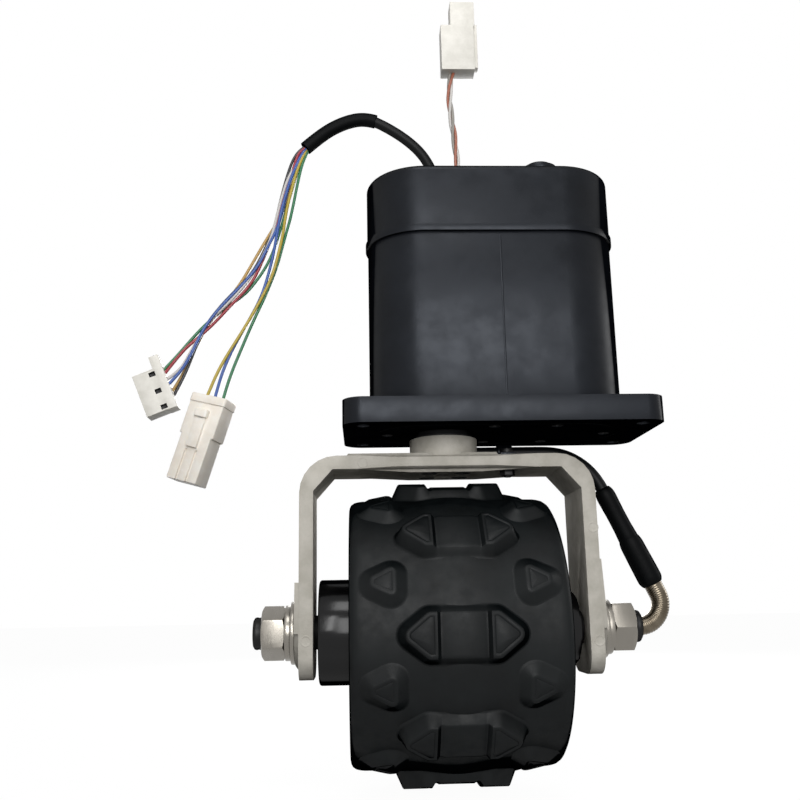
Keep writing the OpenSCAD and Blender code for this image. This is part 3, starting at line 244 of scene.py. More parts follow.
def shrink_sleeve():
    """Polyolefin heat shrink: matt black, with the faint ripples it gets when it draws in."""
    material, tree, shader = surface("shrink_sleeve", "#050607", 0.5)
    dull_at_a_glance(tree, shader, 0.06)
    grain(tree, shader, 1.6, 0.06, detail=2.0)
    return material


def cable_jacket():
    """PVC jacket, extruded: black with a soft satin sheen along its length."""
    material, tree, shader = surface("cable_jacket", "#060708", 0.44)
    dull_at_a_glance(tree, shader, 0.14)
    grain(tree, shader, 0.8, 0.012)
    return material


def moulded_rubber():
    """EPDM, moulded: matt black seals and grommets."""
    material, tree, shader = surface("moulded_rubber", "#0d0e0f", 0.62)
    dull_at_a_glance(tree, shader, 0.3)
    grain(tree, shader, 0.6, 0.02)
    return material


def natural_nylon():
    """Nylon 66 in its natural colour, moulded: ivory, a little translucent at thin edges."""
    material, tree, shader = surface("natural_nylon", "#efe9de", 0.42, ior=1.53)
    shader.inputs["Subsurface Weight"].default_value = 0.15
    shader.inputs["Subsurface Radius"].default_value = (1.2 * MM, 1.0 * MM, 0.8 * MM)
    shader.inputs["Subsurface Scale"].default_value = 1.0
    scaled = grain(tree, shader, 0.6, 0.01)
    mottle(tree, shader, scaled, 7, "Base Color", "#eae2d6", "#f3eee5")
    return material


def white_nylon():
    """Nylon 66, whitened: the flat grey-white of the two small crimp housings."""
    material, tree, shader = surface("white_nylon", "#dedbd2", 0.48, ior=1.53)
    scaled = grain(tree, shader, 0.6, 0.01)
    mottle(tree, shader, scaled, 5, "Base Color", "#d6d3ca", "#e4e1d9")
    return material


def wire_insulation(name, colour):
    """PVC insulation on a thin stranded wire: smooth, with the strands' lay just showing through."""
    material, tree, shader = surface("insulation_" + name, colour, 0.36)
    grain(tree, shader, 0.9, 0.02, detail=1.0)
    return material


def enamelled_copper():
    """Copper wire in clear enamel, wound side by side: glossy orange with the turns as fine grooves."""
    material, tree, shader = surface("enamelled_copper", "#b8602a", 0.25, metallic=0.9)
    grain(tree, shader, 0.5, 0.05, stretch=(0.2, 1, 1))
    return material


def steel_laminations():
    """Electrical steel sheets, stacked: dark grey with fine lines across the stack."""
    material, tree, shader = surface("steel_laminations", "#6a6c70", 0.45, metallic=0.9)
    grain(tree, shader, 0.5, 0.03, detail=1.0, stretch=(1, 0.05, 0.05))
    return material


def green_board():
    """Glass epoxy board under green solder mask: glossy, with the weave faintly printed through."""
    material, tree, shader = surface("green_board", "#12502f", 0.25, ior=1.55)
    grain(tree, shader, 0.6, 0.01)
    return material


def machined_brass():
    """Brass, hobbed: yellow with fine cutter lines."""
    material, tree, shader = surface("machined_brass", "#c9a45a", 0.25, metallic=1.0)
    grain(tree, shader, 0.3, 0.01, stretch=(1, 1, 0.2))
    return material


def nickel_plate():
    """Magnets in nickel plate: smooth and bright, with slightly softened corners."""
    material, tree, shader = surface("nickel_plate", "#b5b3ad", 0.2, metallic=1.0)
    grain(tree, shader, 1.0, 0.005)
    return material


FINISH = {
    "housing_plastic": moulded_abs(), "black_rubber": moulded_rubber(), "tyre_rubber": tread_rubber(),
    "drum_metal": coated_drum(), "cast_aluminium": blasted_casting(), "zinc_steel": zinc_plate(),
    "black_steel": black_oxide_and_painted_shade(), "bare_steel": turned_steel(), "lamination": steel_laminations(),
    "stainless_tube": wound_stainless(), "nylon": natural_nylon(), "brass": machined_brass(),
    "copper": enamelled_copper(), "circuit_board": green_board(), "magnet": nickel_plate(),
    "cable_jacket": cable_jacket(), "connector_ivory": natural_nylon(),
}
SHRINK = shrink_sleeve()
CRIMP_WHITE = white_nylon()
WIRE_COLOURS = {
    "red": "#94222f", "blue": "#33559c", "green": "#1c6b42", "yellow": "#b09a33", "black": "#15151a",
    "white": "#c3bfbb", "orange": "#9a5a44", "grey": "#8b8780", "tan": "#b08c4a",
}
WIRE = {name: wire_insulation(name, colour) for name, colour in WIRE_COLOURS.items()}

NODE_SLOT = {entry["node"]: entry["material_slot"] for entry in frame["record"]["subparts"]}
NODE_BODY = {node: body for body, nodes in frame["record"]["behaviour"]["bodies"].items() for node in nodes}


def clothe(piece, material):
    """Gives the whole piece one material."""
    piece.data.materials.clear()
    piece.data.materials.append(material)


# A bundle's slot has no finish of its own, because single wires of several colours stand for its solid.
for node_name, node_object in frame["nodes"].items():
    clothe(node_object, FINISH.get(NODE_SLOT[node_name], WIRE["blue"]))


# Tools for modelled pieces

SHARP = math.radians(35)
DRAWN_SHARP = math.radians(40)
FLAT = math.radians(0.8)
MERGE_WITHIN = 0.002 * MM
EDGE_STEPS = 2
CORNER_STEPS = 7


def only(piece):
    """Selects one piece and makes it active."""
    bpy.ops.object.select_all(action="DESELECT")
    piece.select_set(True)
    bpy.context.view_layer.objects.active = piece


def into_mesh(piece):
    """Puts the object's place, turn and size into its mesh."""
    only(piece)
    bpy.ops.object.transform_apply(location=True, rotation=True, scale=True)


def apply_modifiers(piece):
    """Puts the piece's modifiers into its mesh."""
    only(piece)
    for modifier in list(piece.modifiers):
        bpy.ops.object.modifier_apply(modifier=modifier.name)


def round_edges(piece, width_mm):
    """Bevels every edge sharper than SHARP, and shades the rest smooth."""
    bevel = piece.modifiers.new("edges", "BEVEL")
    bevel.width = width_mm * MM
    bevel.segments = EDGE_STEPS
    bevel.limit_method = "ANGLE"
    bevel.angle_limit = SHARP
    apply_modifiers(piece)
    bpy.ops.object.shade_smooth_by_angle(angle=SHARP)


def named(piece, name, material, body, slot, *nodes):
    """Finishes a modelled piece: name, material, body and the CAD nodes that it stands for. slot is not used."""
    into_mesh(piece)
    piece.name = name
    clothe(piece, material)
    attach(piece, body)
    if nodes:
        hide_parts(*nodes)
    return piece


def worn_copy(node, width_mm, material=None):
    """Merged copy of a CAD piece with its edges rounded, which then stands for it, in its slot's finish
    unless another is given."""
    piece = bpy.data.objects.new(node + "_finish", frame["nodes"][node].data.copy())
    bpy.context.collection.objects.link(piece)
    only(piece)
    if piece.data.has_custom_normals:
        bpy.ops.mesh.customdata_custom_splitnormals_clear()
    bpy.ops.object.mode_set(mode="EDIT")
    bpy.ops.mesh.select_all(action="SELECT")
    bpy.ops.mesh.remove_doubles(threshold=MERGE_WITHIN)
    bpy.ops.mesh.dissolve_limited(angle_limit=FLAT)
    bpy.ops.object.mode_set(mode="OBJECT")
    round_edges(piece, width_mm)
    return named(piece, node + "_finish", material or FINISH[NODE_SLOT[node]], NODE_BODY[node],
                 NODE_SLOT[node], node)


def drawn(rings, fill="NGON"):
    """Piece extruded ring by ring from a circle, each ring laid out on its points, in metres.
    fill closes the ends (NGON) or leaves them open (NOTHING)."""
    bpy.ops.object.select_all(action="DESELECT")
    bpy.ops.mesh.primitive_circle_add(vertices=len(rings[0]), radius=MM, fill_type=fill)
    piece = bpy.context.object
    for vertex, point in zip(piece.data.vertices, rings[0]):
        vertex.co = point
    for before, after in zip(rings, rings[1:]):
        bpy.ops.object.mode_set(mode="EDIT")
        bpy.ops.mesh.extrude_region_move()
        bpy.ops.object.mode_set(mode="OBJECT")
        for vertex in piece.data.vertices:
            if vertex.select:
                vertex.co = after[min(range(len(before)), key=lambda i: (before[i] - vertex.co).length)]
    bpy.ops.object.mode_set(mode="EDIT")
    bpy.ops.mesh.select_all(action="SELECT")
    bpy.ops.mesh.normals_make_consistent(inside=False)
    bpy.ops.object.mode_set(mode="OBJECT")
    bpy.ops.object.shade_smooth_by_angle(angle=DRAWN_SHARP)
    return piece


def circle_on(x, z, heading, radius, sides=40):
    """Points of a circle square to a line in the plane Y = 0 that heads from +X towards +Z by an angle."""
    across = Vector((-math.sin(heading), 0, math.cos(heading)))
    turns = [2 * math.pi * k / sides for k in range(sides)]
    return [(Vector((x, 0, z)) + (across * math.cos(t) + Vector((0, 1, 0)) * math.sin(t)) * radius) * MM
            for t in turns]


def rounded(corners, radius):
    """Outline of convex corners, each drawn out by the radius, anticlockwise, in millimetres."""
    outline = []
    for i, here in enumerate(corners):
        before, after = corners[i - 1], corners[(i + 1) % len(corners)]
        start = math.atan2(here[1] - before[1], here[0] - before[0]) - math.pi / 2
        turn = (math.atan2(after[1] - here[1], after[0] - here[0]) - math.pi / 2 - start) % (2 * math.pi)
        for k in range(CORNER_STEPS + 1):
            angle = start + turn * k / CORNER_STEPS
            outline.append((here[0] + radius * math.cos(angle), here[1] + radius * math.sin(angle)))
    return outline


def block(corners, steps):
    """Flat block on rounded corners, drawn up step by step. Steps are (corner radius, height)."""
    return drawn([[Vector((x, y, height)) * MM for x, y in rounded(corners, radius)]
                  for radius, height in steps])


def cut_across(piece, axis, places_mm):
    """Cuts the whole piece with planes square to an axis, 0 for X and 1 for Y."""
    only(piece)
    normal = [1.0 if k == axis else 0.0 for k in range(3)]
    bpy.ops.object.mode_set(mode="EDIT")
    for place in places_mm:
        bpy.ops.mesh.select_all(action="SELECT")
        bpy.ops.mesh.bisect(plane_co=[n * place * MM for n in normal], plane_no=normal)
    bpy.ops.object.mode_set(mode="OBJECT")


def inset_faces(piece, chosen, insets):
    """Insets the chosen faces as one region. insets are (thickness, depth) in millimetres."""
    only(piece)
    bpy.ops.object.mode_set(mode="EDIT")
    bpy.ops.mesh.select_all(action="DESELECT")
    bpy.ops.object.mode_set(mode="OBJECT")
    for polygon in piece.data.polygons:
        polygon.select = chosen(polygon)
    bpy.ops.object.mode_set(mode="EDIT")
    for thickness, depth in insets:
        bpy.ops.mesh.inset(thickness=thickness * MM, depth=depth * MM)
    bpy.ops.object.mode_set(mode="OBJECT")


# Connectors. Corners are laid out round the connector's own axis, and steps are (corner radius, height).

PHASE_CONNECTOR_AT = Vector((-116, 0, 6)) * MM
PHASE_CONNECTOR_TURN = math.radians(17)
PHASE_CONNECTOR_ROLL = math.radians(-20)
COLLAR_CORNERS = [(-7.2, -3.7), (7.2, -3.7), (7.2, 3.7), (-7.2, 3.7)]
COLLAR_STEPS = [(1.0, -3.2), (1.25, -3.0), (1.25, -0.1), (1.0, 0.25), (0.5, 0.4)]
PAD_CORNERS = [(-2.1, -6.0), (2.1, -6.0), (2.1, -4.6), (-2.1, -4.6)]
PAD_STEPS = [(0.3, -9.6), (0.8, -9.2), (0.9, -7.0), (0.6, -6.3), (0.3, -6.1)]
CONNECTOR_ROUNDING = 0.4
WINDOW_FLOOR = (-3.75, -1.9)  # only the windows' floors lie between these depths


def phase_trim():
    """Collar round the wire end of the phase connector, and the thumb pad of its latch."""
    place = (Matrix.Translation(PHASE_CONNECTOR_AT) @ Matrix.Rotation(PHASE_CONNECTOR_TURN, 4, "Y")
             @ Matrix.Rotation(PHASE_CONNECTOR_ROLL, 4, "Z"))
    collar, pad = block(COLLAR_CORNERS, COLLAR_STEPS), block(PAD_CORNERS, PAD_STEPS)
    for piece, name in ((collar, "phase_connector_collar"), (pad, "phase_connector_pad")):
        piece.matrix_world = place
        named(piece, name, FINISH["connector_ivory"], "housing", "connector_ivory")
    return [collar, pad]


def paint_shade_in_windows():
    """The floors of the sensor connector's windows get the black finish, as painted shade in the recesses."""
    piece = CONNECTOR["hall_connector"][0]
    piece.data.materials.append(FINISH["black_steel"])
    low, high = WINDOW_FLOOR
    # Painted shade: faces on the windows' floors take the black finish.
    for polygon in piece.data.polygons:
        if low * MM < polygon.center.y < high * MM:
            polygon.material_index = 1


# Cords. Points are X and Z, on the plane Y = 0 or near it. JACKET_PATH is the jacket's own line, as in the
# CAD model. The others are the single wires that run inside the three bundles' space: the first number is
# how far a wire lies in front of the plane or behind it, or the angle at which a twisted one starts.

JACKET_PATH = [(-22, 94), (-22, 101.5), (-22.6, 106), (-24.6, 111), (-28, 117), (-34, 123), (-41, 128),
               (-48, 132), (-53, 133.5), (-59, 132.5), (-66, 129.5), (-72, 125.5), (-79, 119)]
HALL_WIRES = {
    "black": (0.9, [(-78, 120.5), (-81, 119), (-83.5, 116), (-85.5, 111), (-87.5, 104), (-89.5, 96),
        (-91, 89), (-92, 83), (-94, 77.5), (-96.5, 71.5), (-99.5, 65), (-103, 59.5), (-107.5, 54.5),
        (-112.5, 49), (-118, 42), (-121.5, 36.5), (-124, 30), (-126.5, 22.5), (-129, 15.5), (-132, 9.5)]),
    "red": (-0.6, [(-78, 120), (-80.5, 118.5), (-82.5, 116), (-83.5, 111.5), (-85.5, 105), (-88, 97.5),
        (-90, 89), (-91.5, 81.5), (-93.5, 75.5), (-96, 69), (-98.5, 62.5), (-101, 57.5), (-104, 53),
        (-108, 48.5), (-112, 44), (-116, 39.5), (-120, 35.5), (-123.5, 32), (-127.5, 28.5),
        (-131, 24.5), (-135.5, 18.5)]),
    "blue": (-1.6, [(-78, 119.5), (-80, 117.5), (-82, 113.5), (-84.5, 107), (-86.5, 100), (-88, 92.5),
        (-89.5, 86), (-91, 80.5), (-93, 76), (-95.5, 70.5), (-98, 65), (-101.5, 60), (-105, 55.5),
        (-109.5, 50.5), (-114, 45.5), (-118, 40.5), (-121, 36), (-123, 31.5), (-125, 26.5),
        (-127.5, 21.5), (-130, 17.5), (-133.5, 13.5)]),
    "tan": (1.6, [(-78, 118.5), (-79.5, 116.5), (-81.5, 111.5), (-84, 104.5), (-86, 98), (-88, 91.5),
        (-90.5, 86), (-93, 81.5), (-95.5, 77), (-98, 72.5), (-100.5, 68), (-103, 63.5), (-105.5, 58.5),
        (-109, 53), (-113, 47.5), (-117.5, 42), (-121, 37), (-123, 32), (-125.5, 26.5), (-127.5, 21.5),
        (-130.5, 15.5), (-132.8, 11.5)]),
    "green": (0.3, [(-78, 118), (-79.5, 115.5), (-81.5, 111), (-83.5, 104.5), (-85.5, 96.5),
        (-87.5, 89), (-89.5, 81.5), (-91.5, 74.5), (-93.5, 68), (-96.5, 62), (-100, 57), (-103.5, 52.5),
        (-107.5, 49), (-111.5, 46), (-116, 42.5), (-121, 38), (-125, 33.5), (-128.5, 29), (-131.5, 25),
        (-136, 20)]),
    "white": (-1.2, [(-78, 119), (-80, 117), (-83, 112), (-85.5, 106.5), (-87.5, 101.5), (-89, 96),
        (-90.5, 90), (-92, 82.5), (-93.5, 76), (-96, 70), (-98.5, 64.5), (-101, 60.5), (-104, 55.5),
        (-108, 50.5), (-112, 46), (-117, 41.5), (-120.5, 37), (-122.5, 32.5), (-125, 28), (-127.5, 23),
        (-130, 18.5), (-134, 15.5)]),
}
PHASE_WIRES = {
    "yellow": (-3.2, [(-78, 118.5), (-79.5, 116.5), (-81.5, 111.5), (-83.5, 104.5), (-85, 97.5),
        (-86.5, 91), (-87.5, 85), (-88, 79.5), (-89, 73.5), (-90.5, 66.5), (-92, 60.5), (-94.5, 54),
        (-97.5, 47.5), (-101, 40.5), (-105, 33.5), (-109, 27), (-112.5, 21), (-115.5, 14.5), (-118.2, 7)]),
    "blue": (-2.4, [(-78, 119), (-80, 116), (-82.5, 111), (-85, 105), (-87, 97.5), (-89, 90),
        (-90.5, 81.5), (-91.5, 74), (-92.5, 67), (-94, 60.5), (-96, 53), (-98.5, 46.5), (-101.5, 40.5),
        (-104.5, 34.5), (-108, 28), (-111, 21.5), (-113.5, 14.5), (-115.4, 6)]),
    "green": (-2.0, [(-78, 117.5), (-79.2, 115), (-80.5, 111), (-81.5, 106), (-82.7, 99.5), (-84, 92),
        (-85.5, 84.5), (-87, 78.5), (-88.3, 73), (-89.7, 67), (-91.3, 61.5), (-93.3, 56), (-95.7, 49.5),
        (-98.7, 42.5), (-101.7, 35.5), (-104.3, 29), (-106.7, 23), (-109, 16.5), (-110.8, 10.5),
        (-112.2, 5)]),
}
STEERING_LINE = [(-11.5, 95), (-11.5, 101.5), (-11.8, 108), (-12.4, 116), (-13.2, 126), (-14.2, 136),
                 (-14.6, 143), (-14.4, 149), (-13.6, 154), (-12.9, 158)]
STEERING_WIRES = {"orange": (0, STEERING_LINE), "white": (120, STEERING_LINE), "grey": (240, STEERING_LINE)}
BUNDLES = [(HALL_WIRES, "hall_wires", "wire_hall", "hall_connector"),
           (PHASE_WIRES, "phase_wires", "wire_phase", "phase_connector"),
           (STEERING_WIRES, "steering_lead", "wire_steering", "steering_connector")]
WIRE_D = 1.3 * MM
INTO_CONNECTOR = 1.8 * MM
SPREAD_BY = 0.6  # share of its points over which a wire reaches its own depth
SWAY = 0.35
SWAY_TURN = 1.3  # radians from one point to the next
TWIST_R = 0.85
TWIST_PITCH = 32.0
TWIST_STEP = 2.2
JACKET_D = 4.5 * MM
JACKET_SLEEVE_D = 6.0 * MM
JACKET_SLEEVE_FROM = 7  # the jacket's point at which its sleeve begins
ROUND_STEPS = 5


def lead(name, points, diameter, material, *nodes, body="housing"):
    """Round cord on one smooth open curve, riding on a body and standing for its CAD solids, if any."""
    data = bpy.data.curves.new(name, "CURVE")
    data.dimensions = "3D"
    data.bevel_depth = diameter / 2
    data.bevel_resolution = ROUND_STEPS
    data.use_fill_caps = True
    spline = data.splines.new("NURBS")
    spline.points.add(len(points) - 1)
    for knot, point in zip(spline.points, points):
        knot.co = (*point, 1)
    spline.order_u = 4
    spline.use_endpoint_u = True
    spline.resolution_u = ROUND_STEPS
    piece = bpy.data.objects.new(name, data)
    bpy.context.collection.objects.link(piece)
    data.materials.append(material)
    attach(piece, body)
    if nodes:
        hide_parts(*nodes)
    return piece


def wire_path(offset, flat):
    """Points of a single wire, in metres. It leaves the jacket's middle and keeps its own depth after."""
    last = len(flat) - 1
    points = []
    for i, (x, z) in enumerate(flat):
        spread = math.sin(math.pi * min(1, i / (SPREAD_BY * last)) / 2)
        points.append(Vector((x, offset * spread + SWAY * math.sin(SWAY_TURN * i), z)) * MM)
    return points + [points[-1] + (points[-1] - points[-2]).normalized() * INTO_CONNECTOR]


def twisted_path(start_angle, flat):
    """Points of one of three wires that are twisted round the line through flat."""
    points, run = [], 0.0
    for (x0, z0), (x1, z1) in zip(flat, flat[1:]):
        length = math.hypot(x1 - x0, z1 - z0)
        steps = max(1, round(length / TWIST_STEP))
        for k in range(steps):
            angle = math.radians(start_angle) + 2 * math.pi * (run + length * k / steps) / TWIST_PITCH
            x, z = x0 + (x1 - x0) * k / steps, z0 + (z1 - z0) * k / steps
            points.append(Vector((x + TWIST_R * math.cos(angle), TWIST_R * math.sin(angle), z)) * MM)
        run += length
    return points


def lay_cords():
    """The jacket and its sleeve first, then every wire, each running into its connector."""
    path = [Vector((x, 0, z)) * MM for x, z in JACKET_PATH]
    jacket = lead("hub_lead_jacket", path, JACKET_D, FINISH["cable_jacket"], "hub_lead")
    outer = lead("hub_lead_sleeve", path[JACKET_SLEEVE_FROM:], JACKET_SLEEVE_D, SHRINK)
    for wires, node, slot, plug in BUNDLES:
        steering = node == "steering_lead"
        for colour, (depth, flat) in wires.items():
            points = (twisted_path if steering else wire_path)(depth, flat)
            wire = lead(f"{node}_{colour}", points, WIRE_D, WIRE[colour], node)


# CAD pieces, each with the edge rounding of its own process, and the marks of their moulds.
# Steps are (half width or radius, rise from the face).

EDGE_ROUNDING = {
    "base_flange": 0.6, "housing_body": 0.3, "top_cap": 0.35, "bottom_cover": 0.3, "vent_plug": 0.4,
    "cable_grommet": 0.4, "lead_grommet": 0.4, "fork": 0.5, "steering_shaft": 0.8, "dust_ring": 0.3,
    "axle_nuts": 0.25, "lock_washers": 0.25, "flat_washers": 0.3, "cable_clip": 0.25, "clip_screw": 0.2,
    "cover_left": 0.5, "cover_right": 0.5, "hub_drum": 0.4, "axle": 0.3, "cap_screws": 0.15,
    "fork_screws": 0.15, "bottom_cover_screws": 0.12, "cover_screws": 0.12,
}
# Screws that lie in the shade under the flange and the fork plate: their black finish is painted shade.
SCREWS_PAINTED_AS_SHADE = {"fork_screws", "clip_screw", "bottom_cover_screws"}
PLUG_SUNK = 0.6  # share of its height above the cap that the vent plug keeps
SEAM_X = 1.5
SEAM_Z = (1.5, 68.5)  # lower and upper end
FLASH_STEPS = [(0.45, -0.1), (0.4, 0.02), (0.2, 0.09), (0.08, 0.12)]
FLASH_ROUNDING = 0.03
EJECTOR_MARKS = [(-55.2, -23.4), (34.2, -49.9), (34.0, -92.6), (-77.2, -90.7)]
EJECTOR_STEPS = [(2.15, -0.3), (2.1, 0.02), (1.95, 0.1), (1.8, 0.1), (1.65, 0.02), (1.2, 0.01)]
EJECTOR_SIDES = 32


def dress_cad_pieces():
    """Rounds the edges of the visible CAD pieces, gives the screws in the shade under the flange and the fork
    plate the black finish as painted shade, and sinks the vent plug to its height in the photo.
    """
    for node, width in EDGE_ROUNDING.items():
        worn_copy(node, width, FINISH["black_steel"] if node in SCREWS_PAINTED_AS_SHADE else None)
    # The body's screws get the black finish too, as painted shade.
    clothe(frame["nodes"]["body_screws"], FINISH["black_steel"])
    for vertex in bpy.data.objects["vent_plug_finish"].data.vertices:
        if vertex.co.z > CAP_TOP:
            vertex.co.z = CAP_TOP + (vertex.co.z - CAP_TOP) * PLUG_SUNK


def mark_housing():
    """Flash that stands along the mould's parting line, at the housing's front and back."""
    low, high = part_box("housing_body")
    for side, face in ((-1, low.y), (1, high.y)):
        rings = [[Vector((SEAM_X + x * w, face / MM + side * rise, z)) * MM
                  for x, z in ((-1, SEAM_Z[0]), (1, SEAM_Z[0]), (1, SEAM_Z[1]), (-1, SEAM_Z[1]))]
                 for w, rise in FLASH_STEPS]
        name = f"parting_flash_{'back' if side > 0 else 'front'}"
        flash = named(drawn(rings), name, FINISH["housing_plastic"], "housing", "housing_plastic")
        round_edges(flash, FLASH_ROUNDING)


def mark_fork():
    """Round marks that the mould's ejector pins left on the fork's front."""
    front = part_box("fork")[0].y / MM
    turns = [2 * math.pi * i / EJECTOR_SIDES for i in range(EJECTOR_SIDES)]
    for k, (x, z) in enumerate(EJECTOR_MARKS):
        rings = [[Vector((x + r * math.cos(t), front - rise, z + r * math.sin(t))) * MM for t in turns]
                 for r, rise in EJECTOR_STEPS]
        named(drawn(rings), f"ejector_mark_{k}", FINISH["cast_aluminium"], "fork", "cast_aluminium")


# Tyre. Lugs are drawn flat, FULL high, and laid round the tread after.

TREAD_R = 53.5
TREAD_FALL = 2.9
CROWN_HALF = 17.0
SHOULDER = [(50.45, 35.6), (50.1, 37.0), (49.3, 38.2), (48.2, 38.8), (47.2, 39.0), (46.4, 38.6),
            (46.0, 37.8)]  # radius, place from the wheel's middle
SPIN_STEPS = 144
SPIN_MERGE = 0.01 * MM
LUG_SHARP = math.radians(38)
LUG_COUNT = 9
LUG_TOP_R = 57.3
SIDE_LUG_TOP_R = 53.7
SIDE_LUG_TILT = 0.08
SIDE_LUG_X = 26.5
FULL = 4.0
GROOVE = [(0.75, 0), (0.3, -0.16), (0.3, 0.16)]
LUG_CORNERS = [(-17.2, 0), (-11.2, -4.6), (11.2, -4.6), (17.2, 0), (11.2, 4.6), (-11.2, 4.6)]
LUG_STEPS = [(6.1, -1.2), (6.1, -0.05), (5.5, 0.1), (5.1, 0.5), (2.9, 3.55), (2.6, 3.85), (2.2, FULL)]
SIDE_LUG_CORNERS = [(-2.2, -3.3), (3.3, -0.5), (3.3, 0.5), (-2.2, 3.3)]
SIDE_LUG_STEPS = [(6.3, -1.2), (6.3, -0.05), (5.7, 0.12), (5.2, 0.6), (2.2, 3.4), (1.8, 3.8), (1.3, FULL)]
SADDLE_END = 9.2
SADDLE_DROP = 1.25
SADDLE = {SADDLE_END: 0.0, 8.0: 1.55, 7.2: 1.6, 6.5: SADDLE_DROP}  # place from the lug's middle, and drop


def tread_radius(x):
    """Radius of the tread at x from the wheel's middle: crowned, and level at the shoulders."""
    return TREAD_R - TREAD_FALL * (1 - math.exp(-(x / CROWN_HALF) ** 2))


def tyre_carcass():
    """The tyre's closed section, spun round the axle."""
    half = [(tread_radius(x), x) for x in range(0, 35, 2)] + SHOULDER
    section = [(r, -x) for r, x in reversed(half)] + half[1:]
    bpy.ops.mesh.primitive_circle_add(vertices=len(section), radius=MM)
    piece = bpy.context.object
    for vertex, (r, x) in zip(piece.data.vertices, section):
        vertex.co = (WHEEL_X + x * MM, 0, AXLE_Z + r * MM)
    bpy.ops.object.mode_set(mode="EDIT")
    bpy.ops.mesh.select_all(action="SELECT")
    bpy.ops.mesh.spin(steps=SPIN_STEPS, angle=2 * math.pi, center=(0, 0, AXLE_Z), axis=(1, 0, 0))
    bpy.ops.mesh.select_all(action="SELECT")
    bpy.ops.mesh.remove_doubles(threshold=SPIN_MERGE)
    bpy.ops.mesh.normals_make_consistent(inside=False)
    bpy.ops.object.mode_set(mode="OBJECT")
    return piece


def on_top(polygon):
    """Whether a face is on the flat top of a lug that stands at full height."""
    return polygon.normal.z > 0.99 and polygon.center.z > (FULL - 0.1) * MM


def middle_lug():
    """Long lug across the tread, with a grooved triangle at each end and a saddle between them."""
    lug = block(LUG_CORNERS, LUG_STEPS)
    cut_across(lug, 0, sorted(side * x for side in (-1, 1) for x in SADDLE))
    for vertex in lug.data.vertices:
        x, z = abs(vertex.co.x) / MM, vertex.co.z / MM
        if z > 0.3 and x < SADDLE_END - 0.1:
            drop = next((d for place, d in SADDLE.items() if abs(x - place) < 0.02), SADDLE_DROP)
            vertex.co.z -= drop * MM * z / FULL
    for side in (-1, 1):
        inset_faces(lug, lambda p: on_top(p) and side * p.center.x > (SADDLE_END + 0.1) * MM, GROOVE)
    cut_across(lug, 1, range(-9, 10, 3))
    return lug


def shoulder_lug():
    """Rounded triangle that points outwards, with a grooved one on top."""
    lug = block(SIDE_LUG_CORNERS, SIDE_LUG_STEPS)
    inset_faces(lug, on_top, GROOVE)
    cut_across(lug, 1, range(-8, 9, 4))
    cut_across(lug, 0, (-4, 0, 4))
    return lug


def wrap_on_tread(flat, middle_x, side, angle, top_r, tilt):
    """Copy of a flat lug, laid round the tread at an angle from the wheel's front. Its top reaches top_r,
    less tilt for each millimetre outwards."""
    data = flat.data.copy()
    piece = bpy.data.objects.new("lug", data)
    bpy.context.collection.objects.link(piece)
    for vertex in data.vertices:
        x, y, z = vertex.co / MM
        place_x = side * (middle_x + x)
        base = tread_radius(place_x)
        radius = base + (z if z <= 0 else (top_r - tilt * x - base) * z / FULL)
        around = angle + y / TREAD_R
        vertex.co = Vector((WHEEL_X / MM + place_x, -radius * math.cos(around),
                            AXLE_Z / MM + radius * math.sin(around))) * MM
    if side < 0:
        data.flip_normals()
    return piece


def build_tyre():
    """Carcass and lugs, joined into the piece that stands for the CAD tyre."""
    middle, shoulder = middle_lug(), shoulder_lug()
    carcass = tyre_carcass()
    step = 2 * math.pi / LUG_COUNT
    lugs = []
    for k in range(LUG_COUNT):
        lugs.append(wrap_on_tread(middle, 0, 1, k * step, LUG_TOP_R, 0))
        for side in (-1, 1):
            lugs.append(wrap_on_tread(shoulder, SIDE_LUG_X, side, (k + 0.5) * step, SIDE_LUG_TOP_R,
                                      SIDE_LUG_TILT))
    for flat in (middle, shoulder):
        bpy.data.objects.remove(flat)
    only(carcass)
    for lug in lugs:
        lug.select_set(True)
    bpy.ops.object.join()
    bpy.ops.object.shade_smooth_by_angle(angle=LUG_SHARP)
    named(carcass, "tyre_tread", FINISH["tyre_rubber"], "wheel", "tyre_rubber", "tyre")


# Guard tube, sleeves, hub cable and the wheel's axle. Profiles are (distance along, radius).

AXLE_RIGHT = 54.3
AXLE_LEFT = -98.32
BOSS_LEFT = -72.62
HAIR = 0.02  # keeps two faces out of one plane
GUARD_BEND = 9.0
GUARD_STRAIGHT = 5.2
GUARD_R = 3.6
GUARD_SIDES = 28
RIDGE_PITCH = 0.85
RIDGE_H = 0.07
RINGS_PER_RIDGE = 5
LEAN = math.radians(25)
SLEEVE_START = (60.34, -70.67)
LOWER_SLEEVE = [(-1.2, 3.9), (-0.8, 4.2), (0.0, 4.6), (0.9, 4.86), (2, 4.9), (8, 4.85), (13, 4.75),
                (15.5, 4.72), (17, 4.6), (18.2, 4.35), (19.0, 4.05)]
UPPER_SLEEVE = [(18.2, 3.8), (19, 4.05), (21, 3.95), (24, 3.8), (30, 3.78), (34, 3.9), (37, 4.0),
                (38.5, 3.95), (39.6, 3.75), (40.6, 3.4), (41.3, 3.0), (41.5, 2.6)]
HUB_CABLE_D = 5.0
HUB_CABLE_PATH = [(47.1, -42.2), (44.9, -37.6), (42.8, -33.1), (40.9, -29.5), (37.6, -25.2),
                  (33.1, -21.6), (27.6, -18.9), (21.5, -17.9), (15.5, -17.9), (8, -17.9), (0, -17.9),
                  (-8, -17.9), (-13, -17.8), (-17, -17.2), (-20, -15.4), (-21.6, -12.6), (-22, -9),
                  (-22, 0), (-22, 30), (-22, 60), (-22, 94)]
BOSS_PROFILE = [(HAIR, 15.0), (0.0, 18.9), (0.15, 19.5), (0.5, 19.9), (1.0, 20.06), (12.0, 20.06)]
BOSS_SIDES = 96
THREAD_PITCH = 1.75
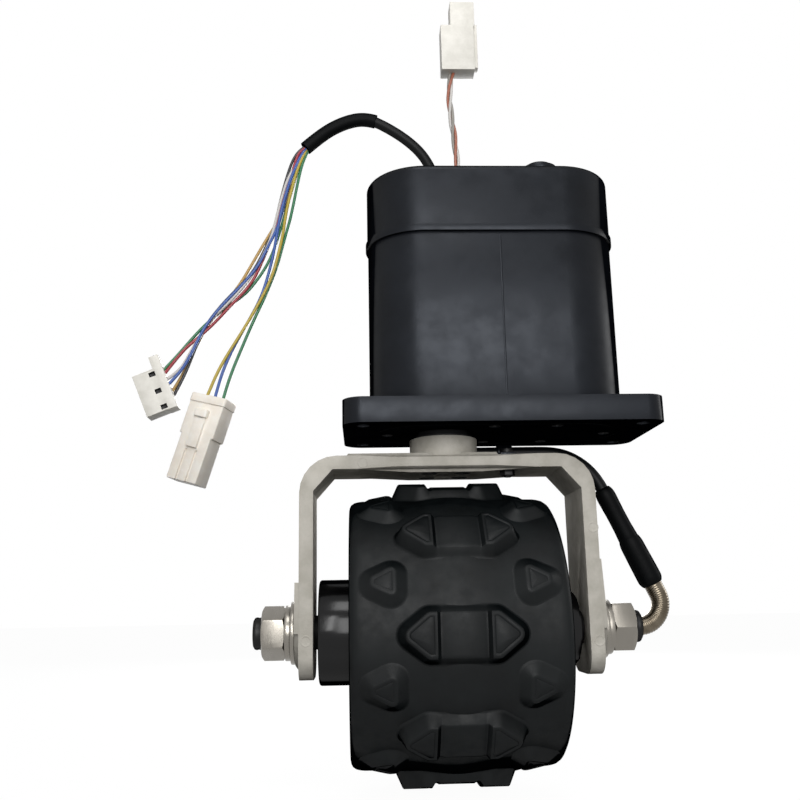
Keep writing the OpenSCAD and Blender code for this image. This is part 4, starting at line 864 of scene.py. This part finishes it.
THREAD_FROM = 0.5
THREAD_SHOWN = 4.4
THREAD_TURN = [(0.35, 6.2), (0.6, 6.2), (1.0, 6.01)]  # share of the pitch, radius
THREAD_SIDES = 48


def guard_tube():
    """Wound tube, bent up out of the axle's end, with its turns as fine ridges."""
    bend = math.pi / 2 + LEAN
    z_axle = AXLE_Z / MM
    length = GUARD_BEND * bend + GUARD_STRAIGHT
    rings = []
    steps = round(length / RIDGE_PITCH * RINGS_PER_RIDGE)
    for k in range(steps + 1):
        run = length * k / steps
        heading = min(run / GUARD_BEND, bend)
        past = max(0.0, run - GUARD_BEND * bend)
        x = AXLE_RIGHT + GUARD_BEND * math.sin(heading) + past * math.cos(heading)
        z = z_axle + GUARD_BEND * (1 - math.cos(heading)) + past * math.sin(heading)
        radius = GUARD_R + RIDGE_H * math.cos(2 * math.pi * run / RIDGE_PITCH)
        rings.append(circle_on(x, z, heading, radius, GUARD_SIDES))
    named(drawn(rings), "guard_tube", FINISH["stainless_tube"], "fork", NODE_SLOT["cable_guard"],
          "cable_guard")


def sleeve(name, node, profile):
    """Shrink sleeve on the leaning line that goes on from the guard tube, by its profile."""
    heading = math.pi / 2 + LEAN
    x, z = SLEEVE_START
    rings = [circle_on(x + run * math.cos(heading), z + run * math.sin(heading), heading, radius)
             for run, radius in profile]
    named(drawn(rings), name, SHRINK, "fork", NODE_SLOT[node], node)


def build_cable_run():
    """From the axle's end to the top of the hollow shaft, all held by the fork."""
    guard_tube()
    sleeve("sleeve_lower_shrunk", "sleeve_lower", LOWER_SLEEVE)
    sleeve("sleeve_upper_shrunk", "sleeve_upper", UPPER_SLEEVE)
    points = [Vector((x, 0, z)) * MM for x, z in HUB_CABLE_PATH]
    cable = lead("hub_cable_smooth", points, HUB_CABLE_D * MM, FINISH["cable_jacket"], "hub_cable",
                 body="fork")


def thread_end(name, tip, inward):
    """Free end of the axle with its thread showing, from the tip to inside the nut."""
    profile = [(0.0, 3.9), (HAIR, 5.1), (THREAD_FROM, 5.95)]
    run = THREAD_FROM
    while run < THREAD_SHOWN:
        profile += [(run + share * THREAD_PITCH, radius) for share, radius in THREAD_TURN]
        run += THREAD_PITCH
    rings = [circle_on(tip + inward * along, AXLE_Z / MM, 0.0, radius, THREAD_SIDES)
             for along, radius in profile]
    named(drawn(rings, "NOTHING"), name, FINISH["black_steel"], "fork", "black_steel")


def dress_axle():
    """Smooth shell of the wheel's left boss, and the thread on both ends of the axle."""
    boss = drawn([circle_on(BOSS_LEFT + run, AXLE_Z / MM, 0.0, radius, BOSS_SIDES)
                  for run, radius in BOSS_PROFILE], "NOTHING")
    named(boss, "left_boss_shell", FINISH["drum_metal"], "wheel", "drum_metal")
    thread_end("axle_thread_left", AXLE_LEFT, 1)
    thread_end("axle_thread_right", AXLE_RIGHT + HAIR, -1)


# Stage and light

FLOOR_Z = TYRE_LOW.z - 0.3 * MM
FLOOR_SIZE = 6.0
PAPER_GREY = "#8a8a8a"
PAPER_GLOW = 1.12
PAPER_SHARE = 0.86
PAPER_AS_LAMP = "#3c3c3c"
ROOM_LIGHT = 0.11


def white_to_the_eye(tree, seen, lit, output):
    """Mixes what the camera, glossy and transmission rays see with what lights the object."""
    ray = add_node(tree, "ShaderNodeLightPath")
    either = add_node(tree, "ShaderNodeMath", [(0, ray, "Is Camera Ray"), (1, ray, "Is Glossy Ray")],
                      operation="MAXIMUM")
    any_ray = add_node(tree, "ShaderNodeMath", [(0, either, "Value"), (1, ray, "Is Transmission Ray")],
                       operation="MAXIMUM")
    mix = add_node(tree, "ShaderNodeMixShader", [("Fac", any_ray, "Value"), (1, lit, 0), (2, seen, 0)])
    tree.links.new(mix.outputs["Shader"], output.inputs["Surface"])


def build_stage():
    """A pale floor just under the wheel and a white surround, which look white and light little."""
    bpy.ops.mesh.primitive_plane_add(size=FLOOR_SIZE, location=(STEER_X, 0, FLOOR_Z))
    floor = bpy.context.object
    floor.name = "floor"
    material = bpy.data.materials.new("floor_paper")
    material.use_nodes = True
    tree = material.node_tree
    paper = tree.nodes["Principled BSDF"]
    paper.inputs["Base Color"].default_value = linear(PAPER_GREY)
    paper.inputs["Roughness"].default_value = 0.9
    bright = add_node(tree, "ShaderNodeEmission", Color=(1, 1, 1, 1), Strength=PAPER_GLOW)
    shadowed = add_node(tree, "ShaderNodeMixShader", [(1, paper, 0), (2, bright, 0)], Fac=PAPER_SHARE)
    dark = add_node(tree, "ShaderNodeBsdfDiffuse", Color=linear(PAPER_AS_LAMP))
    white_to_the_eye(tree, shadowed, dark, tree.nodes["Material Output"])
    clothe(floor, material)
    world = bpy.context.scene.world or bpy.data.worlds.new("studio")
    bpy.context.scene.world = world
    world.use_nodes = True
    tree = world.node_tree
    tree.nodes.clear()
    seen = add_node(tree, "ShaderNodeBackground", Color=(1, 1, 1, 1), Strength=1.0)
    lit = add_node(tree, "ShaderNodeBackground", Color=(1, 1, 1, 1), Strength=ROOM_LIGHT)
    white_to_the_eye(tree, seen, lit, add_node(tree, "ShaderNodeOutputWorld"))


def softbox(name, place_mm, aim_mm, width_mm, height_mm, power):
    """Rectangular lamp turned towards a point, of a power in watts."""
    data = bpy.data.lights.new(name, "AREA")
    data.shape = "RECTANGLE"
    data.size = width_mm * MM
    data.size_y = height_mm * MM
    data.energy = power
    lamp = bpy.data.objects.new(name, data)
    bpy.context.collection.objects.link(lamp)
    place, aim = Vector(place_mm) * MM, Vector(aim_mm) * MM
    turn = (aim - place).to_track_quat("-Z", "Y")
    lamp.matrix_world = Matrix.Translation(place) @ turn.to_matrix().to_4x4()


def light_the_unit():
    """A broad lamp in front, which the flat front mirrors and the round ends don't, a narrow one beside it
    for the nuts and the boss, and weaker ones above, behind and at the right."""
    softbox("front_box", (20, -760, 130), (-10, 0, 0), 400, 440, 3.8)
    softbox("top_box", (-60, -420, 620), (-20, 0, 0), 300, 300, 1.8)
    softbox("left_strip", (-235, -690, 190), (-40, 0, 50), 45, 420, 0.9)
    softbox("back_box", (60, 780, 200), (-20, 0, 0), 420, 420, 4.0)
    softbox("side_box", (760, 260, 160), (-20, 0, 0), 360, 400, 2.2)


place_camera()
CONNECTOR = {name: [worn_copy(name, CONNECTOR_ROUNDING, finish)] for name, finish in
             (("hall_connector", CRIMP_WHITE), ("phase_connector", None),
              ("steering_connector", CRIMP_WHITE))}
CONNECTOR["phase_connector"] += phase_trim()
lay_cords()
dress_cad_pieces()
paint_shade_in_windows()
mark_housing()
mark_fork()
build_tyre()
build_cable_run()
dress_axle()
build_stage()
light_the_unit()

bpy.context.scene.view_settings.view_transform = "Standard"
